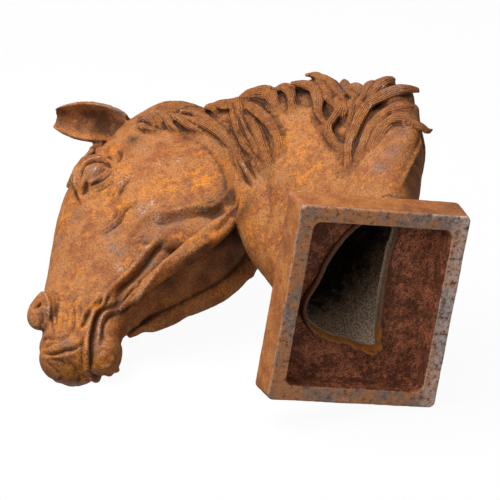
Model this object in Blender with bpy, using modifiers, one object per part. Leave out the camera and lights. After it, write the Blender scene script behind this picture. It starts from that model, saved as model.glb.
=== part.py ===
"""Hollow cast horse head and neck set in an open-bottomed rectangular plinth.

The plinth stands on its rim at Z = 0. The chest side of the neck faces -Y and
the horse's left is +X. Everything is built about the centre of the plinth, and
at the end moved so that X and Y are centred on the whole work.

The figure's own form is in shares. Those of the head are of HEAD_LENGTH, along
the head's axes: from poll to muzzle, to the horse's left, and from jaw to
forehead. Those of the neck and its hair are of NECK_HEIGHT, with Z from the top
of the plinth. Walls, plinth and spigot have sizes of their own.
"""
import math

import bmesh
import bpy
import numpy as np
from mathutils import Matrix, Vector
from mathutils.bvhtree import BVHTree

# Plinth, metres
PLINTH_LENGTH = 0.200
PLINTH_WIDTH = 0.174
PLINTH_HEIGHT = 0.041
PLINTH_WALL = 0.0145
PLINTH_PLATE = 0.011
PLINTH_CORNER = 0.010
PLINTH_INNER_CORNER = 0.009
PLINTH_SHOULDER = 0.005
PLINTH_DRAFT = 0.002
CASTING_GAP = 0.0003

# Spigot of the neck, which goes through the plate of the plinth
SPIGOT_REAR_Y = 0.086
SPIGOT_FRONT_Y = -0.053
SPIGOT_RIGHT_X = -0.030
SPIGOT_REAR_WIDTH = 0.048
SPIGOT_FRONT_WIDTH = 0.092
SPIGOT_FRONT_SKEW = 0.030
SPIGOT_WALL = 0.0045
SPIGOT_LIP = 0.012
SPIGOT_ROOT = 0.004
BORE_ROOT = 0.010

# Neck and its walls
NECK_HEIGHT = 0.416
NECK_WALL = 0.0065
LEAST_WALL = 0.0050

# Head pose and size
HEAD_LENGTH = 0.345
POLL = Vector((0.317, 0.022, 1.0)) * NECK_HEIGHT + Vector((0, 0, PLINTH_HEIGHT))
HEAD_YAW = math.radians(40.9)
HEAD_PITCH = math.radians(46.9)
HEAD_ROLL = math.radians(25.9)
HEAD_WALL = 0.0068

# Mesh sizes
VOXEL = 0.0040
HEAD_TRIANGLES = 6900
CAVITY_TRIANGLES = 1300

# Head sections: place, top, bottom, half widths at jaw, cheek and brow
HEAD_ROWS = (
    (-0.10, -0.060, -0.300, 0.060, 0.090, 0.070),
    (-0.02, 0.000, -0.370, 0.090, 0.120, 0.090),
    (0.08, 0.035, -0.430, 0.110, 0.140, 0.105),
    (0.18, 0.060, -0.485, 0.130, 0.152, 0.130),
    (0.30, 0.075, -0.505, 0.140, 0.155, 0.152),
    (0.40, 0.066, -0.500, 0.136, 0.146, 0.140),
    (0.50, 0.048, -0.460, 0.126, 0.130, 0.116),
    (0.60, 0.024, -0.390, 0.104, 0.112, 0.096),
    (0.70, 0.004, -0.322, 0.080, 0.096, 0.082),
    (0.78, -0.020, -0.286, 0.064, 0.090, 0.080),
    (0.85, -0.050, -0.290, 0.056, 0.090, 0.080),
    (0.90, -0.064, -0.290, 0.054, 0.088, 0.078),
    (0.940, -0.082, -0.275, 0.046, 0.076, 0.068),
    (0.966, -0.115, -0.245, 0.030, 0.052, 0.046),
)

# Neck sections: place, crest x, y, z, throat x, y, z, half width at the crest
# and at the throat
NECK_ROWS = (
    (0.000, -0.0192, 0.2356, -0.0745, 0.0385, -0.1731, -0.0745, 0.0865, 0.1587),
    (0.060, -0.0625, 0.2524, 0.0120, 0.0481, -0.1707, 0.0024, 0.0865, 0.1562),
    (0.180, -0.1442, 0.3413, 0.1683, 0.0769, -0.1298, 0.1418, 0.0817, 0.1442),
    (0.310, -0.1587, 0.3654, 0.3365, 0.1010, -0.0962, 0.2861, 0.0769, 0.1442),
    (0.440, -0.1106, 0.3486, 0.4880, 0.1130, -0.0817, 0.3870, 0.0745, 0.1466),
    (0.570, -0.0240, 0.3053, 0.6226, 0.1082, -0.0505, 0.4928, 0.0769, 0.1466),
    (0.700, 0.0625, 0.2380, 0.7404, 0.1010, -0.0048, 0.5938, 0.0793, 0.1346),
    (0.820, 0.1442, 0.1635, 0.8389, 0.1082, 0.0288, 0.6827, 0.0817, 0.1250),
    (0.920, 0.2212, 0.0913, 0.9062, 0.1322, 0.0433, 0.7548, 0.0817, 0.1202),
    (1.000, 0.2885, 0.0288, 0.9303, 0.1803, 0.0433, 0.8029, 0.0769, 0.1106),
)

# Ridge of hair along the crest: place on the neck, height and half width
CREST_ROWS = (
    (0.160, 0.0048, 0.0144), (0.210, 0.0144, 0.0240), (0.250, 0.0192, 0.0312),
    (0.285, 0.0337, 0.0361), (0.312, 0.0529, 0.0385), (0.335, 0.0361, 0.0361),
    (0.355, 0.0433, 0.0337), (0.380, 0.0529, 0.0337), (0.400, 0.0385, 0.0312),
    (0.420, 0.0120, 0.0288), (0.445, 0.0072, 0.0288), (0.475, 0.0120, 0.0288),
    (0.490, 0.0072, 0.0288), (0.520, 0.0192, 0.0312), (0.550, 0.0264, 0.0312),
    (0.575, 0.0168, 0.0288), (0.600, 0.0048, 0.0288), (0.630, 0.0048, 0.0288),
    (0.665, 0.0144, 0.0312), (0.700, 0.0072, 0.0288), (0.740, 0.0072, 0.0240),
)

# Main locks on the near side: half width, half thickness, then points as place
# on the neck, degrees from the crest to the left, and height over the skin
LOCKS = (
    (0.0240, 0.0168, ((0.312, -4, 0.0240), (0.345, 8, 0.0192), (0.350, 32, 0.0120), (0.307, 51, 0.0096), (0.223, 66, 0.0000))),
    (0.0192, 0.0144, ((0.275, -6, 0.0144), (0.318, 4, 0.0096), (0.285, 33, 0.0096), (0.231, 54, 0.0000))),
    (0.0240, 0.0168, ((0.360, -2, 0.0192), (0.385, 10, 0.0240), (0.375, 30, 0.0072))),
    (0.0168, 0.0144, ((0.430, 14, 0.0096), (0.405, 40, 0.0120), (0.380, 58, 0.0120), (0.350, 64, 0.0096), (0.300, 63, 0.0000))),
    (0.0240, 0.0168, ((0.455, 4, 0.0096), (0.435, 20, 0.0120), (0.400, 42, 0.0072))),
    (0.0216, 0.0168, ((0.590, 8, 0.0048), (0.550, 18, 0.0144), (0.490, 36, 0.0120), (0.440, 52, 0.0096), (0.400, 58, 0.0000))),
    (0.0240, 0.0168, ((0.530, 6, 0.0096), (0.490, 18, 0.0120), (0.455, 34, 0.0072))),
    (0.0240, 0.0168, ((0.710, 8, 0.0072), (0.660, 20, 0.0144), (0.625, 32, 0.0120), (0.575, 50, 0.0024))),
    (0.0216, 0.0168, ((0.790, 14, 0.0144), (0.744, 24, 0.0192), (0.685, 55, 0.0144), (0.626, 80, 0.0144), (0.560, 92, 0.0120), (0.458, 99, 0.0000))),
    (0.0192, 0.0144, ((0.770, 26, 0.0120), (0.700, 62, 0.0120), (0.640, 90, 0.0096), (0.560, 104, 0.0000))),
    (0.0264, 0.0240, ((0.930, 10, 0.0072), (0.870, 24, 0.0240), (0.800, 30, 0.0337), (0.740, 36, 0.0096))),
    (0.0120, 0.0096, ((0.240, -12, 0.0096), (0.220, -20, 0.0240), (0.208, -30, 0.0529))),
)


def spline(rows, at):
    """Smooth curve through rows (place, value, value, ...) at each place of at."""
    rows = np.asarray(rows, float)
    place, value = rows[:, 0], rows[:, 1:]
    slope = np.gradient(value, place, axis=0)
    at = np.clip(np.asarray(at, float), place[0], place[-1])
    i = np.clip(np.searchsorted(place, at) - 1, 0, len(place) - 2)
    step = (place[i + 1] - place[i])[:, None]
    u = ((at - place[i])[:, None]) / step
    return ((2 * u**3 - 3 * u**2 + 1) * value[i] + (u**3 - 2 * u**2 + u) * step * slope[i]
            + (3 * u**2 - 2 * u**3) * value[i + 1] + (u**3 - u**2) * step * slope[i + 1])


def head_axes():
    """Unit vectors poll to muzzle, left, and up out of the forehead."""
    ahead = Vector((math.sin(HEAD_YAW), -math.cos(HEAD_YAW), 0))
    left = Vector((math.cos(HEAD_YAW), math.sin(HEAD_YAW), 0))
    up = Vector((0, 0, 1))
    along = math.cos(HEAD_PITCH) * ahead - math.sin(HEAD_PITCH) * up
    crown = math.sin(HEAD_PITCH) * ahead + math.cos(HEAD_PITCH) * up
    side = math.cos(HEAD_ROLL) * left - math.sin(HEAD_ROLL) * crown
    brow = math.sin(HEAD_ROLL) * left + math.cos(HEAD_ROLL) * crown
    return np.array([along, side, brow])


AXES = head_axes()


def head_point(share):
    """Point of the part from a point in shares of the head."""
    return np.array(POLL) + HEAD_LENGTH * np.asarray(share, float) @ AXES


def ring(count):
    """Sine and cosine round a section."""
    turn = np.linspace(0, 2 * math.pi, count, endpoint=False)
    return np.sin(turn), np.cos(turn)


def oval(count, power):
    """Across and up coordinates of a rounded section, both from -1 to 1."""
    s, c = ring(count)
    return (np.sign(s) * np.abs(s) ** (2 / power), np.sign(c) * np.abs(c) ** (2 / power))


def head_sections(inset=0.0, first=-0.10, last=0.966, stations=44, count=40):
    """Rings of the head, drawn in by inset metres."""
    places = np.linspace(first, last, stations)
    across, up = oval(count, 2.5)
    sections = []
    for place, row in zip(places, spline(HEAD_ROWS, places)):
        top, bottom, jaw, cheek, brow = row
        top -= inset / HEAD_LENGTH
        bottom += inset / HEAD_LENGTH
        v = 0.5 + 0.5 * up
        width = (jaw * (1 - v) * (1 - 2 * v) + 4 * cheek * v * (1 - v)
                 + brow * v * (2 * v - 1)) - inset / HEAD_LENGTH
        width = np.maximum(width, 0.004)
        share = np.stack([np.full(count, place), across * width, bottom + (top - bottom) * v], 1)
        sections.append(head_point(share))
    return sections


def neck_values(places):
    """Crest and throat points and half widths of the neck, in metres."""
    values = spline(NECK_ROWS, places) * NECK_HEIGHT
    values[:, [2, 5]] += PLINTH_HEIGHT
    return values


def neck_frames(places):
    """Centre, left and crest vectors, half depth and half widths of the neck."""
    values = neck_values(places)
    centre = (values[:, 0:3] + values[:, 3:6]) / 2
    crest = values[:, 0:3] - values[:, 3:6]
    depth = np.linalg.norm(crest, axis=1) / 2
    crest /= 2 * depth[:, None]
    ends = [neck_values(np.clip(np.asarray(places) + d, 0, 1)) for d in (0.01, -0.01)]
    tangent = ends[0][:, 0:3] + ends[0][:, 3:6] - ends[1][:, 0:3] - ends[1][:, 3:6]
    left = np.cross(crest, tangent)
    left /= np.linalg.norm(left, axis=1)[:, None]
    return centre, left, crest, depth, values[:, 6], values[:, 7]


def neck_sections(inset=0.0, first=0.0, last=1.0, stations=36, count=40):
    """Rings of the neck, narrow at the crest and full at the throat."""
    across, up = oval(count, 2.2)
    v = 0.5 + 0.5 * up
    sections = []
    for c, l, n, depth, narrow, full in zip(*neck_frames(np.linspace(first, last, stations))):
        width = full + (narrow - full) * v - inset
        sections.append(c + (across * width)[:, None] * l + (up * (depth - inset))[:, None] * n)
    return sections


def loft(sections):
    """Closed mesh data through rings of equal count."""
    count = len(sections[0])
    points = [p for section in sections for p in section]
    faces = []
    for i in range(len(sections) - 1):
        for j in range(count):
            k = (j + 1) % count
            faces.append((i * count + j, i * count + k, (i + 1) * count + k, (i + 1) * count + j))
    for first, order in ((0, -1), (len(sections) - 1, 1)):
        points.append(np.mean(sections[first], axis=0))
        tip = len(points) - 1
        for j in range(count):
            k = (j + 1) % count
            face = (first * count + j, first * count + k, tip)
            faces.append(face if order == 1 else face[::-1])
    return points, faces


def ball(centre, radii, axes):
    """Ellipsoid with its radii along the given axes."""
    sections = []
    s, c = ring(20)
    for angle in np.linspace(0.08, math.pi - 0.08, 13):
        share = np.stack([np.full(20, -math.cos(angle)), math.sin(angle) * s, math.sin(angle) * c], 1)
        sections.append(np.asarray(centre) + (share * np.asarray(radii)) @ np.asarray(axes))
    return loft(sections)


def head_ball(share, radii):
    """Ellipsoid placed and sized in shares of the head."""
    return ball(head_point(share), np.asarray(radii) * HEAD_LENGTH, AXES)


def mirrored(share):
    """A head point and its twin on the other side."""
    x, y, z = share
    return (x, y, z), (x, -y, z)


def sweep(path, width, depth, outward, stations=18, count=12):
    """Tapered lock of hair along a path; it lies flat against outward."""
    keys = np.column_stack([np.linspace(0, 1, len(path)), np.asarray(path, float)])
    t = np.linspace(0, 1, stations)
    centre = spline(keys, t)
    tangent = np.gradient(centre, axis=0)
    tangent /= np.linalg.norm(tangent, axis=1)[:, None]
    s, c = ring(count)
    sections = []
    for i, u in enumerate(t):
        swell = max(math.sin(math.pi * (0.10 + 0.86 * u)), 0.12) ** 0.8
        out = np.asarray(outward[min(int(u * len(outward)), len(outward) - 1)], float)
        out = out - out.dot(tangent[i]) * tangent[i]
        out /= np.linalg.norm(out)
        side = np.cross(tangent[i], out)
        sections.append(centre[i] + (s * width * swell)[:, None] * side
                        + (c * depth * swell)[:, None] * out)
    return loft(sections)


def mesh_object(name, parts):
    """One object holding several closed meshes."""
    bm = bmesh.new()
    for points, faces in parts:
        verts = [bm.verts.new(p) for p in points]
        for face in faces:
            bm.faces.new([verts[i] for i in face])
    bmesh.ops.recalc_face_normals(bm, faces=bm.faces)
    mesh = bpy.data.meshes.new(name)
    bm.to_mesh(mesh)
    bm.free()
    obj = bpy.data.objects.new(name, mesh)
    bpy.context.scene.collection.objects.link(obj)
    return obj


def settle(obj):
    """Replace an object's mesh with the result of its modifiers."""
    graph = bpy.context.evaluated_depsgraph_get()
    mesh = bpy.data.meshes.new_from_object(obj.evaluated_get(graph))
    obj.modifiers.clear()
    old = obj.data
    obj.data = mesh
    bpy.data.meshes.remove(old)


def keep_largest(obj):
    """Drop every loose piece of a mesh but the one with the most vertices."""
    bm = bmesh.new()
    bm.from_mesh(obj.data)
    left, groups = set(bm.verts), []
    while left:
        group, edge = set(), [next(iter(left))]
        while edge:
            vert = edge.pop()
            if vert not in group:
                group.add(vert)
                edge += [e.other_vert(vert) for e in vert.link_edges]
        groups.append(group)
        left -= group
    groups.sort(key=len)
    bmesh.ops.delete(bm, geom=[v for group in groups[:-1] for v in group], context="VERTS")
    bm.to_mesh(obj.data)
    bm.free()


def fuse(obj, voxel, smoothing):
    """Merge overlapping closed meshes into one skin."""
    remesh = obj.modifiers.new("Fuse", "REMESH")
    remesh.mode = "VOXEL"
    remesh.voxel_size = voxel
    smooth = obj.modifiers.new("Soften", "SMOOTH")
    smooth.factor = 0.5
    smooth.iterations = smoothing
    settle(obj)
    keep_largest(obj)


def thin(obj, triangles):
    """Reduce a mesh to about the given number of triangles."""
    count = sum(len(p.vertices) - 2 for p in obj.data.polygons)
    decimate = obj.modifiers.new("Thin", "DECIMATE")
    decimate.ratio = min(1.0, triangles / count)
    decimate.use_collapse_triangulate = True
    settle(obj)


def combine(obj, other, operation):
    """Boolean with another object, which is then removed."""
    boolean = obj.modifiers.new(operation.title(), "BOOLEAN")
    boolean.operation = operation
    boolean.solver = "EXACT"
    boolean.object = other
    settle(obj)
    bpy.data.objects.remove(other)


def stroke(obj, paths, radius, height):
    """Raise (or sink) the skin along each path; radius and height are shares of the head."""
    radius, height = radius * HEAD_LENGTH, height * HEAD_LENGTH
    mesh = obj.data
    points = np.empty(len(mesh.vertices) * 3)
    normals = np.empty(len(mesh.vertices) * 3)
    mesh.vertices.foreach_get("co", points)
    mesh.vertices.foreach_get("normal", normals)
    points, normals = points.reshape(-1, 3), normals.reshape(-1, 3)
    tree = BVHTree.FromPolygons([Vector(p) for p in points], [tuple(p.vertices) for p in mesh.polygons])
    lift = np.zeros(len(points))
    for path in paths:
        keys = np.column_stack([np.linspace(0, 1, len(path)), np.asarray(path, float)])
        line = spline(keys, np.linspace(0, 1, 40))
        line = np.array([tree.find_nearest(Vector(p))[0] for p in line])
        near = np.full(len(points), 1e9)
        for p in line:
            near = np.minimum(near, ((points - p) ** 2).sum(1))
        lift = np.maximum(lift, np.exp(-near / radius**2))
    points += normals * (lift * height)[:, None]
    mesh.vertices.foreach_set("co", points.ravel())
    mesh.update()


def ear(side, tip_along, tip_out, tip_up):
    """Cupped ear, its opening turned out and forward."""
    base = np.array((0.026, 0.077 * side, -0.035))
    tip = np.array((tip_along, tip_out * side, tip_up))
    facing = np.array((0.64, 0.67 * side, -0.25))
    axis = (tip - base) / np.linalg.norm(tip - base)
    facing -= facing.dot(axis) * axis
    facing /= np.linalg.norm(facing)
    wide = np.cross(axis, facing) * side
    sections = []
    for u in np.linspace(0, 1, 14):
        half = 0.080 * (math.sin(math.pi * (0.20 + 0.77 * u)) ** 0.6)
        cup = 0.056 * (1 - 0.60 * u)
        centre = base + (tip - base) * u
        turn = np.linspace(-1, 1, 11)
        outer = [centre + wide * half * t - facing * cup * (1 - t * t) for t in turn]
        inner = [centre + wide * half * 0.80 * t
                 - facing * (cup * (1 - t * t) - 0.028) * min(1, 2.5 * u + 0.1) for t in turn[::-1]]
        sections.append(head_point(np.array(outer + inner)))
    return loft(sections)


def neck_surface(place, turn, out=0.0):
    """Point near the neck's skin; turn is degrees from the crest to the left."""
    centre, left, crest, depth, narrow, full = (v[0] for v in neck_frames(np.array([place])))
    up, across = math.cos(math.radians(turn)), math.sin(math.radians(turn))
    width = full + (narrow - full) * (0.5 + 0.5 * up)
    direction = across * left + up * crest
    return (centre + across * width * left + up * depth * crest + out * NECK_HEIGHT * direction,
            direction)


def crest():
    """Ridge of hair that stands along the crest of the neck."""
    places = np.linspace(CREST_ROWS[0][0], CREST_ROWS[-1][0], 60)
    s, c = ring(20)
    sections = []
    for place, (height, half) in zip(places, spline(CREST_ROWS, places) * NECK_HEIGHT):
        root, out = neck_surface(place, 8)
        ahead = neck_surface(place + 0.01, 8)[0] - root
        side = np.cross(out, ahead / np.linalg.norm(ahead))
        sections.append(root + (s * half)[:, None] * side + (c * height)[:, None] * out)
    return loft(sections)


def mane():
    """Main locks on the near side and plainer ones on the far side."""
    tables = list(LOCKS)
    for i in range(10):
        start = 0.30 + 0.070 * i
        bend = 5 * math.sin(2.4 * i)
        tables.append((0.028, 0.018, ((start, 2, 0.010), (start - 0.03, -22 - bend, 0.012),
                                      (start - 0.08, -46 + bend, 0.008), (start - 0.13, -66, 0.000))))
    locks = []
    for width, depth, points in tables:
        placed = [neck_surface(*p) for p in points]
        locks.append(sweep([p for p, _ in placed], width * NECK_HEIGHT, depth * NECK_HEIGHT,
                           [out for _, out in placed]))
    return locks


def forelock():
    """Locks over the poll, between the ears and down the forehead."""
    locks = []
    for i, y in enumerate((-0.052, -0.026, 0.0, 0.026, 0.052)):
        path = [head_point((x + 0.02 * (i % 2), y * (1 + 0.5 * u), 0.008 + 0.056 * u - 3 * y * y))
                for x, u in ((-0.06, 0.0), (0.05, 0.35), (0.17, 0.7), (0.33, 1.0))]
        locks.append(sweep(path, 0.029 * HEAD_LENGTH, 0.026 * HEAD_LENGTH, [AXES[2]] * 4))
    return locks


def jaws():
    """Bars of the lower jaw, with a hollow between them."""
    bars = []
    for side in (1, -1):
        path = [head_point((x, y * side, z)) for x, y, z in (
            (0.12, 0.095, -0.400), (0.22, 0.105, -0.495), (0.34, 0.108, -0.525), (0.46, 0.105, -0.495),
            (0.56, 0.095, -0.425), (0.66, 0.078, -0.345), (0.76, 0.055, -0.275))]
        bars.append(sweep(path, 0.033 * HEAD_LENGTH, 0.033 * HEAD_LENGTH, [-AXES[2]] * 7, 24))
    return bars


def outer_skin():
    """Head, neck, ears and mane as one skin with the main carving."""
    parts = [loft(head_sections()), loft(neck_sections()), crest()] + jaws()
    for share in mirrored((0.275, 0.122, -0.030)):
        parts.append(head_ball(share, (0.078, 0.044, 0.062)))
    for share in mirrored((0.31, 0.098, -0.32)):
        parts.append(head_ball(share, (0.24, 0.070, 0.24)))
    for share in mirrored((0.795, 0.068, -0.052)):
        parts.append(head_ball(share, (0.070, 0.038, 0.050)))
    parts.append(head_ball((0.918, 0, -0.152), (0.066, 0.080, 0.086)))
    parts.append(head_ball((0.890, 0, -0.275), (0.062, 0.052, 0.034)))
    parts += [ear(1, 0.024, 0.090, 0.198), ear(-1, -0.050, 0.215, 0.085)]
    parts += mane() + forelock()
    skin = mesh_object("horse_head", parts)
    fuse(skin, VOXEL, 3)
    both = lambda *path: ([head_point(p) for p in path],
                          [head_point((x, -y, z)) for x, y, z in path])
    brow = ((0.19, 0.13, 0.010), (0.25, 0.16, 0.030), (0.34, 0.15, 0.010))
    lower_lid = ((0.21, 0.15, -0.085), (0.28, 0.17, -0.100), (0.37, 0.14, -0.060))
    nostril = ((0.765, 0.08, -0.040), (0.79, 0.10, -0.060), (0.825, 0.10, -0.080))
    nostril_rim = ((0.750, 0.09, -0.070), (0.80, 0.11, -0.105), (0.86, 0.10, -0.115))
    mouth = ((0.755, 0.09, -0.262), (0.83, 0.09, -0.245), (0.92, 0.08, -0.245), (0.98, 0.02, -0.250))
    cheek_crest = ((0.37, 0.16, -0.165), (0.50, 0.12, -0.150), (0.64, 0.09, -0.150))
    jowl_edge = ((0.12, 0.16, -0.36), (0.22, 0.17, -0.45), (0.36, 0.17, -0.46), (0.50, 0.14, -0.38),
                 (0.60, 0.11, -0.30), (0.72, 0.09, -0.25))
    jaw_hollow = ((0.50, 0.14, -0.43), (0.62, 0.10, -0.35), (0.74, 0.07, -0.27))
    between_jaws = ((0.22, 0, -0.60), (0.36, 0, -0.60), (0.52, 0, -0.50), (0.70, 0, -0.35))
    stroke(skin, both(*brow), 0.023, 0.014)
    stroke(skin, both(*lower_lid), 0.017, -0.009)
    stroke(skin, both(*nostril_rim), 0.017, 0.009)
    stroke(skin, both(*nostril), 0.020, -0.029)
    stroke(skin, both(*mouth), 0.016, -0.017)
    stroke(skin, both(*cheek_crest), 0.023, 0.012)
    stroke(skin, both(*jowl_edge), 0.023, 0.012)
    stroke(skin, both(*jaw_hollow), 0.023, -0.012)
    stroke(skin, both(*between_jaws)[:1], 0.046, -0.017)
    return skin


def hold_walls(inside, skin):
    """Draw a cavity in wherever it comes too near the outside of the skin."""
    tree = BVHTree.FromPolygons([v.co.copy() for v in skin.data.vertices],
                                [tuple(p.vertices) for p in skin.data.polygons])
    for vert in inside.data.vertices:
        if vert.co.z > PLINTH_HEIGHT + SPIGOT_ROOT:
            place, normal, _, _ = tree.find_nearest(vert.co)
            if (place - vert.co).dot(normal) < LEAST_WALL:
                vert.co = place - normal * LEAST_WALL


def cavity():
    """Space inside the casting, open at the spigot."""
    parts = [loft(neck_sections(NECK_WALL, 0.06, 0.95, 24, 24)),
             loft(head_sections(HEAD_WALL, 0.04, 0.80, 20, 24))]
    inside = mesh_object("cavity", parts)
    fuse(inside, 0.0055, 4)
    thin(inside, CAVITY_TRIANGLES)
    return inside


def spigot_outline(grow):
    """Outline of the neck where it passes the plate of the plinth, grown outwards.

    The right side is straight; the left side and the front slant."""
    across, up = oval(40, 3.4)
    u, v = 0.5 + 0.5 * across, 0.5 + 0.5 * up
    width = SPIGOT_FRONT_WIDTH + (SPIGOT_REAR_WIDTH - SPIGOT_FRONT_WIDTH) * v
    outline = np.stack([SPIGOT_RIGHT_X + width * u,
                        SPIGOT_FRONT_Y + (SPIGOT_REAR_Y - SPIGOT_FRONT_Y) * v
                        + SPIGOT_FRONT_SKEW * u * (1 - v)], 1)
    ahead = np.roll(outline, -1, axis=0) - np.roll(outline, 1, axis=0)
    ahead /= np.linalg.norm(ahead, axis=1)[:, None]
    return outline + grow * np.stack([-ahead[:, 1], ahead[:, 0]], 1)


def prism(name, outline, bottom, top):
    """Solid between two levels; each level may vary along the outline."""
    low = np.broadcast_to(bottom, len(outline))
    high = np.broadcast_to(top, len(outline))
    return mesh_object(name, [loft([np.column_stack([outline, low]), np.column_stack([outline, high])])])


def horse_head():
    """The casting: carved skin, spigot through the plate, and its cavity."""
    skin = outer_skin()
    inside = cavity()
    hold_walls(inside, skin)
    thin(skin, HEAD_TRIANGLES)
    foot = prism("foot", np.array([(-0.3, -0.3), (0.3, -0.3), (0.3, 0.3), (-0.3, 0.3)]),
                 -0.2, PLINTH_HEIGHT + CASTING_GAP)
    combine(skin, foot, "DIFFERENCE")
    outline = spigot_outline(0.0)
    plate = PLINTH_HEIGHT - PLINTH_PLATE
    forward = (SPIGOT_REAR_Y - outline[:, 1]) / (SPIGOT_REAR_Y - SPIGOT_FRONT_Y)
    reach = np.clip(1.6 * forward - 0.5, 0, 1) + 0.12 * np.sin(9 * np.arange(len(outline)))
    lip = plate - SPIGOT_LIP * (0.12 + 0.88 * reach)
    combine(skin, prism("spigot", outline, lip, PLINTH_HEIGHT + SPIGOT_ROOT), "UNION")
    bore = prism("bore", spigot_outline(-SPIGOT_WALL), 0.0, PLINTH_HEIGHT + BORE_ROOT)
    combine(inside, bore, "UNION")
    combine(skin, inside, "DIFFERENCE")
    keep_largest(skin)
    return skin


def rounded_box(name, length, width, bottom, top, corner, shoulder, draft):
    """Box with rounded upright corners, a shoulder and a slight draft."""
    levels = [(bottom, 0.0)]
    levels += [(top - shoulder * (1 - math.sin(a)), shoulder * (1 - math.cos(a)))
               for a in np.linspace(0, math.pi / 2, 5)]
    sections = []
    for z, inset in levels:
        grow = draft * (z - bottom) / (top - bottom) - inset
        hx, hy = width / 2 + grow, length / 2 + grow
        r = max(corner - inset, 0.002)
        section = []
        for quarter, (sx, sy) in enumerate(((1, 1), (-1, 1), (-1, -1), (1, -1))):
            for a in np.linspace(0, math.pi / 2, 6) + quarter * math.pi / 2:
                section.append((sx * (hx - r) + r * math.cos(a), sy * (hy - r) + r * math.sin(a), z))
        sections.append(np.array(section))
    return mesh_object(name, [loft(sections)])


def plinth():
    """Box open below, with a hole in its plate for the spigot."""
    body = rounded_box("plinth", PLINTH_LENGTH, PLINTH_WIDTH, 0.0, PLINTH_HEIGHT,
                       PLINTH_CORNER, PLINTH_SHOULDER, PLINTH_DRAFT)
    hollow = rounded_box("hollow", PLINTH_LENGTH - 2 * PLINTH_WALL, PLINTH_WIDTH - 2 * PLINTH_WALL,
                         -0.01, PLINTH_HEIGHT - PLINTH_PLATE, PLINTH_INNER_CORNER, 0.004, -0.003)
    combine(body, hollow, "DIFFERENCE")
    combine(body, prism("hole", spigot_outline(CASTING_GAP), 0.0, PLINTH_HEIGHT + 0.01), "DIFFERENCE")
    return body


def material(name, colour, roughness, metallic):
    """Principled material."""
    mat = bpy.data.materials.new(name)
    mat.use_nodes = True
    shader = mat.node_tree.nodes["Principled BSDF"]
    shader.inputs["Base Color"].default_value = (*colour, 1)
    shader.inputs["Roughness"].default_value = roughness
    shader.inputs["Metallic"].default_value = metallic
    return mat


def main():
    for obj in list(bpy.data.objects):
        bpy.data.objects.remove(obj)
    parts = bpy.data.collections.new("parts")
    bpy.context.scene.collection.children.link(parts)
    rust = material("rusted_cast_iron", (0.33, 0.13, 0.05), 0.85, 0.0)
    dark_rust = material("dark_rusted_cast_iron", (0.22, 0.10, 0.06), 0.80, 0.0)
    pieces = ((horse_head(), rust), (plinth(), dark_rust))
    corners = np.array([v.co for obj, _ in pieces for v in obj.data.vertices])
    middle = (corners.min(0) + corners.max(0)) / 2
    for obj, mat in pieces:
        obj.data.transform(Matrix.Translation((-middle[0], -middle[1], 0)))
        obj.data.materials.clear()
        obj.data.materials.append(mat)
        bpy.context.scene.collection.objects.unlink(obj)
        parts.objects.link(obj)


main()
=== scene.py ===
"""Rusted cast-iron horse head set in its open plinth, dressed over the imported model.

Shapes are worked out about the centre of the plinth, and moved to the packed
plinth's place when a piece is made. The plinth stands on its rim, the chest side
of the neck faces -Y and the horse's left is +X. The picture shows the work lying
on its front, seen from below the plinth.
"""
import math

import bmesh
import bpy
import numpy as np
from bpy.props import FloatProperty, FloatVectorProperty, IntProperty, PointerProperty
from mathutils import Matrix, Vector, noise
from mathutils.bvhtree import BVHTree


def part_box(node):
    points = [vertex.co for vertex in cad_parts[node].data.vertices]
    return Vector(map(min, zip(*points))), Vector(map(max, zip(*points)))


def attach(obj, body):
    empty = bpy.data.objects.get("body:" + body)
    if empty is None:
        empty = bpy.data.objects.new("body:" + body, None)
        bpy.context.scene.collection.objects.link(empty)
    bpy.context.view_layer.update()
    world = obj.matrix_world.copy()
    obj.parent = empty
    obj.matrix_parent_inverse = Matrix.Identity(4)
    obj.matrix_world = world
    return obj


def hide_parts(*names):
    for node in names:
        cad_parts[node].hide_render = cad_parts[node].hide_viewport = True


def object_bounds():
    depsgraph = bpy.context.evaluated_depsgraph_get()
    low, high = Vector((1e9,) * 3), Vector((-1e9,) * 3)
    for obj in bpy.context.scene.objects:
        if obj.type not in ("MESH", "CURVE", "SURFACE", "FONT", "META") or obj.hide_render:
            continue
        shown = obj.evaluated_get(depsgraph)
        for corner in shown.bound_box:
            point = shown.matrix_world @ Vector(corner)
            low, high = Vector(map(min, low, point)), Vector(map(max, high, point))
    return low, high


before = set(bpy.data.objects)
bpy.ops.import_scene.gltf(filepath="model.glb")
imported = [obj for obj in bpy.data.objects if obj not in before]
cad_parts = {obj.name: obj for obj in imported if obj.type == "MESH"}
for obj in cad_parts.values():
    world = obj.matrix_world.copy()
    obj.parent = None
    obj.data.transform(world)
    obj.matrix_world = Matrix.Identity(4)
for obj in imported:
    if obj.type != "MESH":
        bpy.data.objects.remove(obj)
CAD_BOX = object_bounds()

bl_info = {
    "name": "Cast horse head",
    "version": (1, 0, 0),
    "blender": (4, 5, 0),
    "location": "3D View > Sidebar > Cast head",
    "description": "Builds a hollow rusted cast-iron horse head on a rectangular plinth",
    "category": "Object",
}

PLINTH_LOW, PLINTH_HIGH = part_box("plinth")
CENTRE = Vector(((PLINTH_LOW.x + PLINTH_HIGH.x) / 2, (PLINTH_LOW.y + PLINTH_HIGH.y) / 2, 0))
MM = 0.001


def table(text):
    """Rows of a text table: words and numbers, then points as numbers with commas."""
    rows = []
    for line in text.strip().splitlines():
        words = line.split()
        if words[0] == "#":
            continue
        points = tuple(tuple(float(v) for v in word.split(",")) for word in words if "," in word)
        lead = [word if word.isalpha() else float(word) for word in words if "," not in word]
        rows.append((*lead, points))
    return rows


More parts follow.
